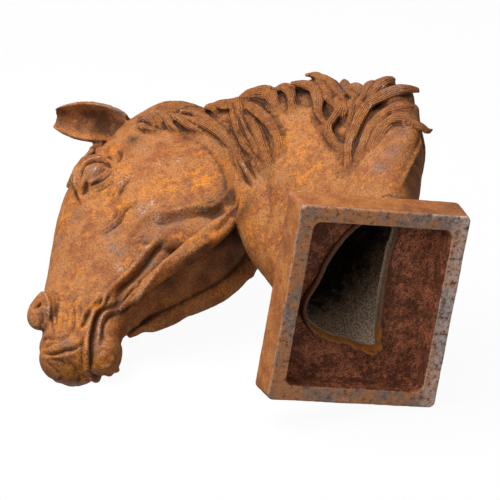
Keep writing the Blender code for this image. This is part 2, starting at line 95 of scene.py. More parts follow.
# Plinth, metres
PLINTH_LENGTH = 0.200
PLINTH_WIDTH = 0.174
PLINTH_HEIGHT = 0.041
PLINTH_WALL = 0.0145
PLINTH_PLATE = 0.011
PLINTH_DRAFT = 0.002
CASTING_GAP = 0.0003

# Spigot of the neck, which goes through the plate of the plinth: x, y of its
# outside and how far its ragged edge stands below the plate, in mm
SPIGOT_ROWS = (
    (-28, 72, 1.0), (-25, 50, 2.0), (-24, 20, 3.5), (-25, -15, 7.0), (-28, -38, 11.0),
    (-30, -49, 13.5), (-22, -54, 14.5), (-6, -52, 13.0), (8, -47, 8.0), (20, -46, 10.5),
    (34, -41, 13.0), (50, -31, 13.0), (58.5, -17, 12.0), (58, -2, 9.0), (49, 17, 5.0),
    (43, 37, 3.0), (32, 58, 2.0), (20, 74, 1.5), (6, 83, 1.0), (-14, 83, 1.0))
SPIGOT_WALL = 0.0045
SPIGOT_EDGE = 0.0022

# Neck and its walls
NECK_HEIGHT = 0.416
NECK_WALL = 0.0065
LEAST_WALL = 0.0042

# Head pose and size
HEAD_LENGTH = 0.345
POLL = Vector((0.317, 0.022, 1.0)) * NECK_HEIGHT + Vector((0, 0, PLINTH_HEIGHT))
HEAD_YAW = math.radians(40.9)
HEAD_PITCH = math.radians(46.9)
HEAD_ROLL = math.radians(25.9)
HEAD_WALL = 0.0068

# Grain of the rough skin that details are placed on, and of the cavity
COARSE_GRAIN = 0.0035
CAVITY_GRAIN = 0.0024
CAVITY_TRIANGLES = 36000
PLINTH_GRAIN = 0.0016

FAR_LOCKS = 15

# Small holes that the casting left in the front of the lip: place in metres, radius in mm
LIP_HOLES = (
    (0.037, -0.040, 0.0215, 2.0), (0.043, -0.036, 0.0235, 1.2),
    (-0.012, -0.052, 0.0215, 1.1), (-0.020, -0.054, 0.0205, 1.3))

# Camera of the picture, about the centre of the plinth
CAMERA_PLACE = Vector((1.242, 1.108, -3.087))
CAMERA_RIGHT = Vector((-0.9447, 0.1649, -0.2835))
CAMERA_UP = Vector((0.0608, 0.9375, 0.3426))
CAMERA_BACK = Vector((0.3222, 0.3064, -0.8957))
CAMERA_LENS = 260.8
FILM = 36
PICTURE = 500
FLOOR_NORMAL = Vector((0.182, 0.983, 0.0)).normalized()
FLOOR_LEVEL = -0.114

# Head sections: place, top, bottom, half widths at jaw, cheek and brow (share)
HEAD_ROWS = (
    (-0.10, -0.060, -0.300, 0.060, 0.090, 0.070),
    (-0.02, 0.000, -0.370, 0.090, 0.120, 0.090),
    (0.08, 0.035, -0.430, 0.110, 0.140, 0.105),
    (0.18, 0.060, -0.485, 0.130, 0.152, 0.130),
    (0.30, 0.075, -0.505, 0.140, 0.155, 0.152),
    (0.40, 0.066, -0.500, 0.136, 0.146, 0.140),
    (0.50, 0.048, -0.460, 0.126, 0.130, 0.116),
    (0.60, 0.024, -0.390, 0.104, 0.112, 0.096),
    (0.70, 0.004, -0.322, 0.080, 0.096, 0.082),
    (0.78, -0.020, -0.286, 0.064, 0.090, 0.080),
    (0.85, -0.050, -0.290, 0.056, 0.090, 0.080),
    (0.90, -0.064, -0.290, 0.054, 0.088, 0.078),
    (0.940, -0.082, -0.275, 0.046, 0.076, 0.068),
    (0.966, -0.115, -0.245, 0.030, 0.052, 0.046),
)

# Neck sections: place, crest x, y, z, throat x, y, z, half width at the crest
# and at the throat
NECK_ROWS = (
    (0.000, -0.0192, 0.2356, -0.0745, 0.0385, -0.1731, -0.0745, 0.0865, 0.1587),
    (0.060, -0.0625, 0.2524, 0.0120, 0.0481, -0.1707, 0.0024, 0.0865, 0.1562),
    (0.180, -0.1442, 0.3413, 0.1683, 0.0769, -0.1298, 0.1418, 0.0817, 0.1442),
    (0.310, -0.1587, 0.3654, 0.3365, 0.1010, -0.0962, 0.2861, 0.0769, 0.1442),
    (0.440, -0.1106, 0.3486, 0.4880, 0.1130, -0.0817, 0.3870, 0.0745, 0.1466),
    (0.570, -0.0240, 0.3053, 0.6226, 0.1082, -0.0505, 0.4928, 0.0769, 0.1466),
    (0.700, 0.0625, 0.2380, 0.7404, 0.1010, -0.0048, 0.5938, 0.0793, 0.1346),
    (0.820, 0.1442, 0.1635, 0.8389, 0.1082, 0.0288, 0.6827, 0.0817, 0.1250),
    (0.920, 0.2212, 0.0913, 0.9062, 0.1322, 0.0433, 0.7548, 0.0817, 0.1202),
    (1.000, 0.2885, 0.0288, 0.9303, 0.1803, 0.0433, 0.8029, 0.0769, 0.1106),
)

# Ridge of hair along the crest: place on the neck, height and half width (share)
CREST_ROWS = (
    (0.160, 0.0048, 0.0144), (0.210, 0.0144, 0.0240), (0.250, 0.0192, 0.0312),
    (0.285, 0.0337, 0.0361), (0.312, 0.0529, 0.0385), (0.335, 0.0361, 0.0361),
    (0.355, 0.0433, 0.0337), (0.380, 0.0529, 0.0337), (0.400, 0.0385, 0.0312),
    (0.420, 0.0120, 0.0288), (0.445, 0.0072, 0.0288), (0.475, 0.0120, 0.0288),
    (0.490, 0.0072, 0.0288), (0.520, 0.0192, 0.0312), (0.550, 0.0264, 0.0312),
    (0.575, 0.0168, 0.0288), (0.600, 0.0048, 0.0288), (0.630, 0.0048, 0.0288),
    (0.665, 0.0144, 0.0312), (0.700, 0.0072, 0.0288), (0.740, 0.0072, 0.0240),
)

# Locks of the near side as they lie in the picture: half width and thickness in
# mm, then points of the picture with their height over the skin in mm
NEAR_LOCKS = table("""
    8 4 416,91,4 401,92,3 384,99,3 369,110,3 358,127,2 350,148,2 347,168,0
    7 3 415,108,2 400,108,1 385,116,1 370,132,1 357,156,0
    6 3 412,122,2 398,118,1 383,128,1 370,145,0
    7 4 392,81,3 384,86,3 375,97,2 365,108,1
    6 4 376,83,3 370,90,3 366,99,2 360,106,1
    5 4 337,101,3 341,112,3 336,122,3 330,131,3 332,140,2 343,149,0
    4 4 352,103,3 354,112,2 349,122,0
    4 4 345,104,3 346,112,2 342,120,0
    4 4 360,100,2 361,110,2 355,120,0
    6 5 294,86,4 308,87,4 317,94,4 320,106,3 320,116,2 327,126,0
    6 4 306,77,3 318,80,3 326,90,3 331,102,2 338,110,0
    5 4 322,78,3 334,88,3 340,96,2 347,104,0
    5 4 343,83,3 350,90,2 357,98,1 363,108,0
    5 4 353,87,3 362,92,2 368,100,0
    9 5 240,102,2 252,96,2 264,95,2 272,99,2 277,108,1
    5 4 277,92,3 286,90,3 292,96,2 294,108,0
    6 4 236,98,4 241,112,4 243,127,3 250,141,3 261,156,0
    5 3 232,97,2 235,113,2 240,128,2 247,146,2 256,160,0
    6 3 244,104,2 258,112,2 270,124,2 277,138,1 278,152,0
    5 3 246,116,1 256,130,1 262,146,1 267,168,0
    8 4 206,98,1 217,99,1 230,102,1 240,104,1 256,109,0
    5 4 203,100,1 210,104,1 218,112,0
    5 4 180,114,3 194,115,2 208,120,1 222,130,0
    5 3 196,121,1 210,126,1 224,136,1 236,150,0
    5 3 236,152,1 242,164,1 250,176,0
    4 3 410,122,0 420,128,2 427,131,5 433,129,10
""")
# Short curls between the ear and the crest
POLL_CURLS = table("""
    137,115 142,120 150,121 155,127
    148,116 156,119 161,127
    160,114 167,120 172,128 181,133
    170,115 178,121 190,127 200,131
    140,126 147,130 157,131
    176,116 186,121 198,123
""")

# Carved lines of the near side, mirrored to the far side: radius and height in
# mm, then points of the picture
HEAD_LINES = table("""
    # brow and lids
    3.2 2.6 82,160 93,152 107,149 120,149
    1.9 -1.8 86,160 93,156.5 101,155.5 108,156.5 114,161
    2 1.6 82,168 87,161.5 98,158 107,159.5 113,165
    2 -3.2 80,184 81,174 84,166 91,161.8 99,160.8 106,163 111,168
    2.6 -3.2 87,181 86,187 84,194
    1.9 2 88,184 96,180 103,175 110,168.5
    1.7 -2 90,186 99,182 105,178 112,171.5
    2.2 1.8 90,189 101,185 109,180 115,173
    2.4 -1.2 93,193 104,188 113,182
    2.4 2 75,164 75,178 79,192 83,203
    2.4 -2 72,180 75,192 80,203
    2.6 -2.2 118,150 121,156 117,163
    2.8 1.6 124,143 126,152 122,162
    # facial crest, veins and nasal bone
    3.2 1.8 134,170 126,177 119,185 110,193 96,202
    3 -1.4 131,178 124,186 119,196
    2.3 1.9 136,201 128,204 121,210 119,218 110,226 99,233 88,241
    2.2 -1.2 139,204 130,208 124,213 121,221 112,229 101,236
    2.2 1.4 119,186 117,199 120,210
    5 1.6 86,202 80,225 74,250 66,275
    3 1 150,226 135,240 118,252 100,268
    # jowl edge, cheek muscle and jaw bars
    4 2.6 229,186 224,199 212,207 198,207 184,209 168,213 152,213 140,221 130,231
    5.5 -3.4 233,192 228,207 214,214 199,214 185,217 168,221 155,223 146,231
    3.2 3 160,238 150,248 142,258 134,268 123,279 112,289 103,297
    3.2 -3.8 164,243 154,254 146,265 136,277 124,287 117,297
    3 2.6 176,255 166,262 158,272 149,283 139,296 131,307
    2.4 -2.6 142,279 136,289 129,301
    2.2 1.4 134,282 128,292 121,303
    4 2 244,197 240,212 232,226 218,238 204,245 190,254 176,262
    3.6 -2.2 238,200 232,214 222,226 210,233
    # nostril
    3 2.4 36,295 43,294 48,301 49,312 48,322
    4.6 -8 35,302 38,305
    3.2 -3 40,310 43,318 42,327
    2.2 -1.6 52,300 51,314 52,326 54,335
    # wrinkles of the upper lip
    1.9 -1.6 57,304 56,316 55,326
    1.9 -1.8 63,314 62,325 60,336
    1.9 -1.6 68,308 67,320 65,331
    1.9 -1.8 74,302 75,314 74,327 71,334
    2 -1.4 80,304 81,314 79,322
    2.2 -2.8 90,311 86,319 81,328
    2.2 1.8 101,294 94,303 86,312 80,320
    2 -2.2 33,341 45,338.5 58,339.5 72,335
    1.9 -2 42,349 52,344 63,340.5
    2.2 -2.8 41,353.5 53,354.5 64,351 74,349 83,343
    2 -1.6 50,359 60,361 68,366
    2 -1.8 45,361 54,369 62,377
    1.8 -1.4 66,358 73,366 79,374
    2.2 1.6 46,357 60,357 74,354
    # mouth, lips and chin
    2.6 2.6 95,311 90,324 87,340 87,356 87,372
    2 -2 85,334 82,347 82,360 84,372
    2.5 -5.5 112,306 102,310 97,317 94,331 92,345 91.5,360 90,376
    2.6 2.4 114,310 105,314 100,322 98,336 97,349
    2 -1.6 117,314 109,318 104,326 103,338
    2.2 2.2 97,352 102,347.5 109,350 112.5,357 109,365 101,368
    3.6 1.2 101,353 105,360
    1.9 -1.8 100,305 102,299 105,293
    1.9 -1.8 106,308 107,301 110,295
    1.9 1.6 104,304 106,297
    2.4 -2.2 120,300 116,306 110,309
    # back of the jowl
    2.2 -2.2 235,158 239,168 245,179 251,187
    2.2 1.6 239,156 244,166 250,176 254,184
    2 -1.6 244,158 250,168 256,180
""")
# Shallow lines of the neck, near side only
NECK_LINES = table("""
    9 -3 264,168 268,190 267,214 262,236
    2.4 1.4 290,186 300,183 310,180
    5 -1.2 296,99 303,103 312,107
    4 -1 246,101 256,99 268,101
    3 -3 231,106 238,121 243,135 252,149
    4 -1.2 134,141 130,134
    3 -1.5 108,140 116,137
    1.9 2.2 424,135 419,148 411,165 402,185
""")

# Marks on the near side: kind, radius in mm, picture points. The dark marks are painted shade,
# under the jaw, under the curls and on the shaded side of the neck. The pale marks are partly
# painted highlights on ridges and the eye, partly pale flecks. The grey marks are partly
# grey-violet scale, partly painted sheen on ridges, the nostril rim and the mane. The ochre marks
# are orange rust.
MARKS = table("""
    pale 2.6 152,203 141,207 145,212 157,216 163,218 154,222 133,266 141,257 148,247
    pale 2 121,270 165,261 162,267 186,209 203,209 160,165 175,166 178,160 118,268
    pale 2.4 181,210 195,208 121,184 127,177 94,170 97,168 384,86 372,106 352,140
    grey 9 163,222 178,219 150,232 140,212 94,172 118,250 112,228 66,345 97,335
    grey 7 99,322 96,346 95,375 45,312 45,330 160,245 60,240 76,215 150,262
    grey 10 395,150 380,165 400,132 365,80 345,85 120,112 100,106 140,113 395,92
    dark 9 226,197 218,206 208,210 248,205 244,214 120,300 116,310 133,140
    dark 8 300,95 308,99 256,98 60,112 62,104 88,112 246,148 240,130 58,120
    dark 11 204,250 220,243 190,262 214,262 236,236 205,280 230,262 170,285
    dark 7 421,150 417,162 413,174 410,184 424,143 422,165 418,180 412,190
    ochre 8 60,320 75,318 88,345 88,365 60,346 75,340 97,305 86,325 72,372
    ochre 10 112,152 70,205 66,215 122,170 104,197 130,214 216,232 196,240 124,205
    ochre 12 170,185 200,180 150,190 285,140 300,150 310,170 240,200 250,225
""")


def spline(rows, at):
    """Smooth curve through rows (place, value, value, ...) at each place of at."""
    rows = np.asarray(rows, float)
    place, value = rows[:, 0], rows[:, 1:]
    slope = np.gradient(value, place, axis=0)
    at = np.clip(np.asarray(at, float), place[0], place[-1])
    i = np.clip(np.searchsorted(place, at) - 1, 0, len(place) - 2)
    step = (place[i + 1] - place[i])[:, None]
    u = ((at - place[i])[:, None]) / step
    return ((2 * u**3 - 3 * u**2 + 1) * value[i] + (u**3 - 2 * u**2 + u) * step * slope[i]
            + (3 * u**2 - 2 * u**3) * value[i + 1] + (u**3 - u**2) * step * slope[i + 1])


def smooth_path(path, count):
    """Evenly counted points of a smooth curve through a path."""
    keys = np.column_stack([np.linspace(0, 1, len(path)), np.asarray(path, float)])
    return spline(keys, np.linspace(0, 1, count))


def head_axes():
    """Unit vectors poll to muzzle, left, and up out of the forehead."""
    ahead = Vector((math.sin(HEAD_YAW), -math.cos(HEAD_YAW), 0))
    left = Vector((math.cos(HEAD_YAW), math.sin(HEAD_YAW), 0))
    up = Vector((0, 0, 1))
    along = math.cos(HEAD_PITCH) * ahead - math.sin(HEAD_PITCH) * up
    crown = math.sin(HEAD_PITCH) * ahead + math.cos(HEAD_PITCH) * up
    side = math.cos(HEAD_ROLL) * left - math.sin(HEAD_ROLL) * crown
    brow = math.sin(HEAD_ROLL) * left + math.cos(HEAD_ROLL) * crown
    return np.array([along, side, brow])


AXES = head_axes()


def head_point(share):
    """Point of the work from a point in shares of the head."""
    return np.array(POLL) + HEAD_LENGTH * np.asarray(share, float) @ AXES


def far_side(points):
    """The same places on the other side of the head."""
    share = (np.asarray(points) - np.array(POLL)) @ AXES.T / HEAD_LENGTH
    return head_point(share * (1, -1, 1))


def ring(count):
    """Sine and cosine round a section."""
    turn = np.linspace(0, 2 * math.pi, count, endpoint=False)
    return np.sin(turn), np.cos(turn)


def oval(count, power):
    """Across and up coordinates of a rounded section, both from -1 to 1."""
    s, c = ring(count)
    return (np.sign(s) * np.abs(s) ** (2 / power), np.sign(c) * np.abs(c) ** (2 / power))


def head_sections(inset=0.0, first=-0.10, last=0.966, stations=110, count=96):
    """Rings of the head, drawn in by inset metres."""
    places = np.linspace(first, last, stations)
    across, up = oval(count, 2.5)
    sections = []
    for place, row in zip(places, spline(HEAD_ROWS, places)):
        top, bottom, jaw, cheek, brow = row
        top -= inset / HEAD_LENGTH
        bottom += inset / HEAD_LENGTH
        v = 0.5 + 0.5 * up
        width = (jaw * (1 - v) * (1 - 2 * v) + 4 * cheek * v * (1 - v)
                 + brow * v * (2 * v - 1)) - inset / HEAD_LENGTH
        width = np.maximum(width, 0.004)
        share = np.stack([np.full(count, place), across * width, bottom + (top - bottom) * v], 1)
        sections.append(head_point(share))
    return sections


def neck_values(places):
    """Crest and throat points and half widths of the neck, in metres."""
    values = spline(NECK_ROWS, places) * NECK_HEIGHT
    values[:, [2, 5]] += PLINTH_HEIGHT
    return values


def neck_frames(places):
    """Centre, left and crest vectors, half depth and half widths of the neck."""
    values = neck_values(places)
    centre = (values[:, 0:3] + values[:, 3:6]) / 2
    crest = values[:, 0:3] - values[:, 3:6]
    depth = np.linalg.norm(crest, axis=1) / 2
    crest /= 2 * depth[:, None]
    ends = [neck_values(np.clip(np.asarray(places) + d, 0, 1)) for d in (0.01, -0.01)]
    tangent = ends[0][:, 0:3] + ends[0][:, 3:6] - ends[1][:, 0:3] - ends[1][:, 3:6]
    left = np.cross(crest, tangent)
    left /= np.linalg.norm(left, axis=1)[:, None]
    return centre, left, crest, depth, values[:, 6], values[:, 7]


def neck_sections(inset=0.0, first=0.0, last=1.0, stations=90, count=96):
    """Rings of the neck, narrow at the crest and full at the throat."""
    across, up = oval(count, 2.2)
    v = 0.5 + 0.5 * up
    sections = []
    for c, l, n, depth, narrow, full in zip(*neck_frames(np.linspace(first, last, stations))):
        width = full + (narrow - full) * v - inset
        sections.append(c + (across * width)[:, None] * l + (up * (depth - inset))[:, None] * n)
    return sections


def neck_surface(place, turn):
    """Point near the neck's skin; turn is degrees from the crest to the left."""
    centre, left, crest, depth, narrow, full = (v[0] for v in neck_frames(np.array([place])))
    up, across = math.cos(math.radians(turn)), math.sin(math.radians(turn))
    width = full + (narrow - full) * (0.5 + 0.5 * up)
    direction = across * left + up * crest
    return centre + across * width * left + up * depth * crest, direction


def crest():
    """Ridge of hair that stands along the crest of the neck."""
    places = np.linspace(CREST_ROWS[0][0], CREST_ROWS[-1][0], 120)
    s, c = ring(40)
    sections = []
    for place, (height, half) in zip(places, spline(CREST_ROWS, places) * NECK_HEIGHT):
        root, out = neck_surface(place, 8)
        ahead = neck_surface(place + 0.01, 8)[0] - root
        side = np.cross(out, ahead / np.linalg.norm(ahead))
        sections.append(root + (s * half)[:, None] * side + (c * height)[:, None] * out)
    return loft(sections)


def sweep(path, width, depth, outward, stations=40, count=24):
    """Tapered round-edged bar along a path; it lies flat against outward."""
    centre = smooth_path(path, stations)
    facing = smooth_path(outward, stations)
    tangent = np.gradient(centre, axis=0)
    tangent /= np.linalg.norm(tangent, axis=1)[:, None]
    s, c = ring(count)
    sections = []
    for i, u in enumerate(np.linspace(0, 1, stations)):
        swell = max(math.sin(math.pi * (0.10 + 0.86 * u)), 0.12) ** 0.8
        out = facing[i] - facing[i].dot(tangent[i]) * tangent[i]
        out /= np.linalg.norm(out)
        side = np.cross(tangent[i], out)
        sections.append(centre[i] + (s * width * swell)[:, None] * side
                        + (c * depth * swell)[:, None] * out)
    return loft(sections)


def jaws():
    """Bars of the lower jaw and the shallower web between them."""
    bars = []
    for side, rise, half in ((1, 0, 0.033), (-1, 0, 0.033), (0, 0.020, 0.090)):
        path = [head_point((x, y * side, z + rise)) for x, y, z in (
            (0.12, 0.095, -0.400), (0.22, 0.105, -0.495), (0.34, 0.108, -0.525),
            (0.46, 0.105, -0.495), (0.56, 0.095, -0.425), (0.66, 0.078, -0.345),
            (0.76, 0.055, -0.275))]
        bars.append(sweep(path, half * HEAD_LENGTH, 0.033 * HEAD_LENGTH, [-AXES[2]] * 7))
    return bars


def loft(sections):
    """Closed mesh data through rings of equal count."""
    count = len(sections[0])
    points = [p for section in sections for p in section]
    faces = []
    for i in range(len(sections) - 1):
        for j in range(count):
            k = (j + 1) % count
            faces.append((i * count + j, i * count + k, (i + 1) * count + k, (i + 1) * count + j))
    for first, order in ((0, -1), (len(sections) - 1, 1)):
        points.append(np.mean(sections[first], axis=0))
        tip = len(points) - 1
        for j in range(count):
            k = (j + 1) % count
            face = (first * count + j, first * count + k, tip)
            faces.append(face if order == 1 else face[::-1])
    return points, faces


def ball(centre, radii, axes, count=40):
    """Ellipsoid with its radii along the given axes."""
    sections = []
    s, c = ring(count)
    for angle in np.linspace(0.06, math.pi - 0.06, count // 2):
        share = np.stack([np.full(count, -math.cos(angle)), math.sin(angle) * s,
                          math.sin(angle) * c], 1)
        sections.append(np.asarray(centre) + (share * np.asarray(radii)) @ np.asarray(axes))
    return loft(sections)


def head_ball(share, radii):
    """Ellipsoid placed and sized in shares of the head."""
    return ball(head_point(share), np.asarray(radii) * HEAD_LENGTH, AXES)


def mirrored(share):
    """A head point and its twin on the other side."""
    x, y, z = share
    return (x, y, z), (x, -y, z)


def ear(side, tip_along, tip_out, tip_up):
    """Cupped ear, its opening turned out and forward."""
    base = np.array((0.010, 0.077 * side, -0.035))
    tip = np.array((tip_along, tip_out * side, tip_up))
    facing = np.array((0.64, 0.67 * side, -0.25))
    axis = (tip - base) / np.linalg.norm(tip - base)
    facing -= facing.dot(axis) * axis
    facing /= np.linalg.norm(facing)
    wide = np.cross(axis, facing) * side
    sections = []
    for u in np.linspace(0, 1, 40):
        half = 0.064 * (math.sin(math.pi * (0.12 + 0.80 * u)) ** 0.5)
        cup = 0.056 * (1 - 0.60 * u)
        centre = base + (tip - base) * u
        turn = np.linspace(-1, 1, 25)
        outer = [centre + wide * half * t - facing * cup * (1 - t * t) for t in turn]
        inner = [centre + wide * half * 0.86 * t
                 - facing * (cup * (1 - t * t) - 0.018) * min(1, 2.5 * u + 0.1) for t in turn[::-1]]
        sections.append(head_point(np.array(outer + inner)))
    return loft(sections)


def mesh_object(name, parts):
    """One object holding several closed meshes."""
    bm = bmesh.new()
    for points, faces in parts:
        verts = [bm.verts.new(p) for p in points]
        for face in faces:
            bm.faces.new([verts[i] for i in face])
    bmesh.ops.recalc_face_normals(bm, faces=bm.faces)
    mesh = bpy.data.meshes.new(name)
    bm.to_mesh(mesh)
    bm.free()
    obj = bpy.data.objects.new(name, mesh)
    bpy.context.scene.collection.objects.link(obj)
    return obj


def settle(obj):
    """Replace an object's data with the mesh that its modifiers make."""
    graph = bpy.context.evaluated_depsgraph_get()
    mesh = bpy.data.meshes.new_from_object(obj.evaluated_get(graph))
    obj.modifiers.clear()
    old = obj.data
    obj.data = mesh
    bpy.data.meshes.remove(old)


def join(obj, other):
    """Add another object's mesh to an object."""
    bm = bmesh.new()
    bm.from_mesh(obj.data)
    bm.from_mesh(other.data)
    bm.to_mesh(obj.data)
    bm.free()
    bpy.data.objects.remove(other)


def keep_largest(obj):
    """Drop every loose piece of a mesh but the one with the most vertices."""
    mesh = obj.data
    edges = np.empty(len(mesh.edges) * 2, np.int64)
    mesh.edges.foreach_get("vertices", edges)
    edges = edges.reshape(-1, 2)
    label = np.arange(len(mesh.vertices))
    while True:
        low = np.minimum(label[edges[:, 0]], label[edges[:, 1]])
        new = label.copy()
        np.minimum.at(new, edges[:, 0], low)
        np.minimum.at(new, edges[:, 1], low)
        new = new[new]
        if (new == label).all():
            break
        label = new
    count = np.bincount(label)
    if (count > 0).sum() > 1:
        bm = bmesh.new()
        bm.from_mesh(mesh)
        bm.verts.ensure_lookup_table()
        drop = np.flatnonzero(label != count.argmax())
        bmesh.ops.delete(bm, geom=[bm.verts[i] for i in drop], context="VERTS")
        bm.to_mesh(mesh)
        bm.free()


def fuse(obj, voxel, smoothing):
    """Merge overlapping closed meshes into one skin."""
    remesh = obj.modifiers.new("Fuse", "REMESH")
    remesh.mode = "VOXEL"
    remesh.voxel_size = voxel
    smooth = obj.modifiers.new("Soften", "SMOOTH")
    smooth.factor = 0.5
    smooth.iterations = smoothing
    settle(obj)
    keep_largest(obj)


def thin(obj, triangles):
    """Reduce a mesh to about the given number of triangles."""
    count = sum(len(p.vertices) - 2 for p in obj.data.polygons)
    if triangles < count:
        decimate = obj.modifiers.new("Thin", "DECIMATE")
        decimate.ratio = triangles / count
        decimate.use_collapse_triangulate = True
        settle(obj)


def combine(obj, other, operation):
    """Boolean with another object, which is then removed."""
    boolean = obj.modifiers.new(operation.title(), "BOOLEAN")
    boolean.operation = operation
    boolean.solver = "MANIFOLD"
    boolean.object = other
    settle(obj)
    bpy.data.objects.remove(other)
    if not obj.data.polygons:
        raise RuntimeError(f"{operation} left nothing of {obj.name}")


def vertex_values(mesh, name):
    """Positions or normals of a mesh as an array."""
    values = np.empty(len(mesh.vertices) * 3)
    mesh.vertices.foreach_get(name, values)
    return values.reshape(-1, 3)


def place_vertices(mesh, points):
    """Write the positions of a mesh."""
    mesh.vertices.foreach_set("co", np.asarray(points, float).ravel())
    mesh.update()


def search_tree(mesh):
    """Tree for finding places on a mesh."""
    return BVHTree.FromPolygons([v.co.copy() for v in mesh.vertices],
                                [tuple(p.vertices) for p in mesh.polygons])


class Skin:
    """Finds places on a mesh: the nearest one, and what a picture point shows."""

    def __init__(self, obj):
        self.tree = search_tree(obj.data)

    def nearest(self, point):
        """Nearest place and its normal."""
        place, normal, _, _ = self.tree.find_nearest(Vector(point))
        return np.array(place), np.array(normal)

    def seen(self, x, y):
        """What a picture point shows, or the place beside the outline, with its normal."""
        step = (CAMERA_BACK * -CAMERA_LENS / FILM + CAMERA_RIGHT * (x / PICTURE - 0.5)
                + CAMERA_UP * (0.5 - y / PICTURE))
        step.normalize()
        place, normal, _, _ = self.tree.ray_cast(CAMERA_PLACE, step)
        if place is None:
            place = CAMERA_PLACE + step * 3.5
            for _ in range(12):
                close, normal, _, _ = self.tree.find_nearest(place)
                place = CAMERA_PLACE + step * (close - CAMERA_PLACE).dot(step)
            reach = place - close
            place = close + reach * min(1, 3.0 * MM / max(reach.length, 1e-6))
        return np.array(place), np.array(normal)

    def trace(self, points, count):
        """Smooth line on the skin through places that may lie near it."""
        return np.array([self.nearest(p)[0] for p in smooth_path(points, count)])


def beside(points, line, reach):
    """Which points are near a line, their nearest steps of it and squared distances."""
    low, high = line.min(0) - reach, line.max(0) + reach
    near = np.flatnonzero(((points > low) & (points < high)).all(1))
    away = ((points[near, None, :] - line[None]) ** 2).sum(2)
    closest = away.argmin(1)
    return near, closest, away[np.arange(len(near)), closest]


def carve(points, normals, lines, strength):
    """Raise or sink a skin along lines (radius, height, points on the skin)."""
    for radius, height, line in lines:
        near, closest, away = beside(points, line, 2.6 * radius)
        along = closest / (len(line) - 1)
        fade = np.minimum(1, 0.35 + 3.0 * np.minimum(along, 1 - along))
        lift = np.exp(-away / radius**2) * fade
        points[near] += normals[near] * (lift * height * strength)[:, None]


def head_lines(skin):
    """Carved lines of both sides of the head and of the neck, in metres."""
    lines = []
    for radius, height, path in HEAD_LINES:
        places = np.array([skin.seen(x, y)[0] for x, y in path])
        count = 12 * len(path)
        lines.append((radius * MM, height * MM, skin.trace(places, count)))
        lines.append((radius * MM, height * MM, skin.trace(far_side(places), count)))
    for radius, height, path in NECK_LINES:
        places = np.array([skin.seen(x, y)[0] for x, y in path])
        lines.append((radius * MM, height * MM, skin.trace(places, 12 * len(path))))
    middle = np.array([head_point((x, 0, z)) for x, z in (
        (0.22, -0.60), (0.36, -0.60), (0.52, -0.50), (0.70, -0.35))])
    lines.append((12 * MM, -2 * MM, skin.trace(middle, 40)))
    return lines


def lock(half_width, depth, seen, lifts):
    """One lock of hair: half width and depth in mm, places lifted off the skin, normals."""
    return (half_width, depth, [p + n * lift * MM for (p, n), lift in zip(seen, lifts)],
            [n for _, n in seen])


def guide_lines(skin):
    """Every lock of hair of the near side, the poll, the far side and the brow."""
    guides = []
    for half_width, depth, path in NEAR_LOCKS:
        seen = [skin.seen(x, y) for x, y, _ in path]
        guides.append(lock(half_width, depth, seen, [lift for _, _, lift in path]))
    for (path,) in POLL_CURLS:
        seen = [skin.seen(x, y) for x, y in path]
        crossed = [skin.nearest(p) for p in far_side(np.array([p for p, _ in seen]))]
        guides += [lock(3, 3, side, [1.5] * len(path)) for side in (seen, crossed)]
    for i in range(FAR_LOCKS):
        start = 0.27 + 0.046 * i
        bend = 6 * math.sin(2.4 * i)
        reach = 58 + 14 * math.sin(1.7 * i)
        path = ((start, 3, 2), (start - 0.02, -18 - bend, 1), (start - 0.055, -38 + bend, 1),
                (start - 0.075, -reach, 0), (start - 0.13, -reach - 10, -1))
        seen = [skin.nearest(neck_surface(place, turn)[0]) for place, turn, _ in path]
        guides.append(lock(11, 4, seen, [lift for _, _, lift in path]))
    for i, y in enumerate((-0.050, -0.030, -0.010, 0.010, 0.030, 0.050)):
        path = [head_point((x + 0.02 * (i % 2),
                            y * (1 + 0.5 * u) + 0.012 * math.sin(9 * x + i), 0.05))
                for x, u in ((-0.06, 0.0), (0.03, 0.25), (0.11, 0.5), (0.19, 0.8), (0.27, 1.0))]
        guides.append(lock(6, 4, [skin.nearest(p) for p in path], [3] * len(path)))
    return guides


def curve_guides(skin):
    """Mesh of polylines that the hair tree turns into strands."""
    points, edges, out, spread, depth = [], [], [], [], []
    for half_width, thick, places, normals in guide_lines(skin):
        count = 6 * len(places)
        line, facing = smooth_path(places, count), smooth_path(normals, count)
        edges += [(len(points) + i, len(points) + i + 1) for i in range(count - 1)]
        points += list(line)
        out += list(facing / np.linalg.norm(facing, axis=1)[:, None])
        spread += [half_width * MM] * count
        depth += [thick * MM] * count
    mesh = bpy.data.meshes.new("hair_guides")
    mesh.from_pydata([tuple(p) for p in points], edges, [])
    write_field(mesh, "out", out, "FLOAT_VECTOR", "vector")
    write_field(mesh, "spread", spread)
    write_field(mesh, "thick", depth)
    obj = bpy.data.objects.new("hair_guides", mesh)
    bpy.context.scene.collection.objects.link(obj)
    return obj


class Wire:
    """A node's output; arithmetic on it adds Math nodes to its tree."""

    def __init__(self, bench, socket):
        self.bench, self.socket = bench, socket

    def maths(self, operation, *values):
        return self.bench.add("ShaderNodeMath", {"operation": operation}, dict(enumerate(values)))

    def __add__(self, other):
        return self.maths("ADD", self, other)

    __radd__ = __add__

    def __sub__(self, other):
        return self.maths("SUBTRACT", self, other)

    def __rsub__(self, other):
        return self.maths("SUBTRACT", other, self)

    def __mul__(self, other):
        return self.maths("MULTIPLY", self, other)

    __rmul__ = __mul__

    def __truediv__(self, other):
        return self.maths("DIVIDE", self, other)

    def __pow__(self, other):
        return self.maths("POWER", self, other)

    def sine(self):
        """Sine of this value."""
        return self.maths("SINE", self)

    def band(self, low, high):
        """0 below low, 1 above high, smooth between."""
        return self.bench.add("ShaderNodeMapRange", {"interpolation_type": "SMOOTHSTEP"},
                              {"Value": self, "From Min": low, "From Max": high})


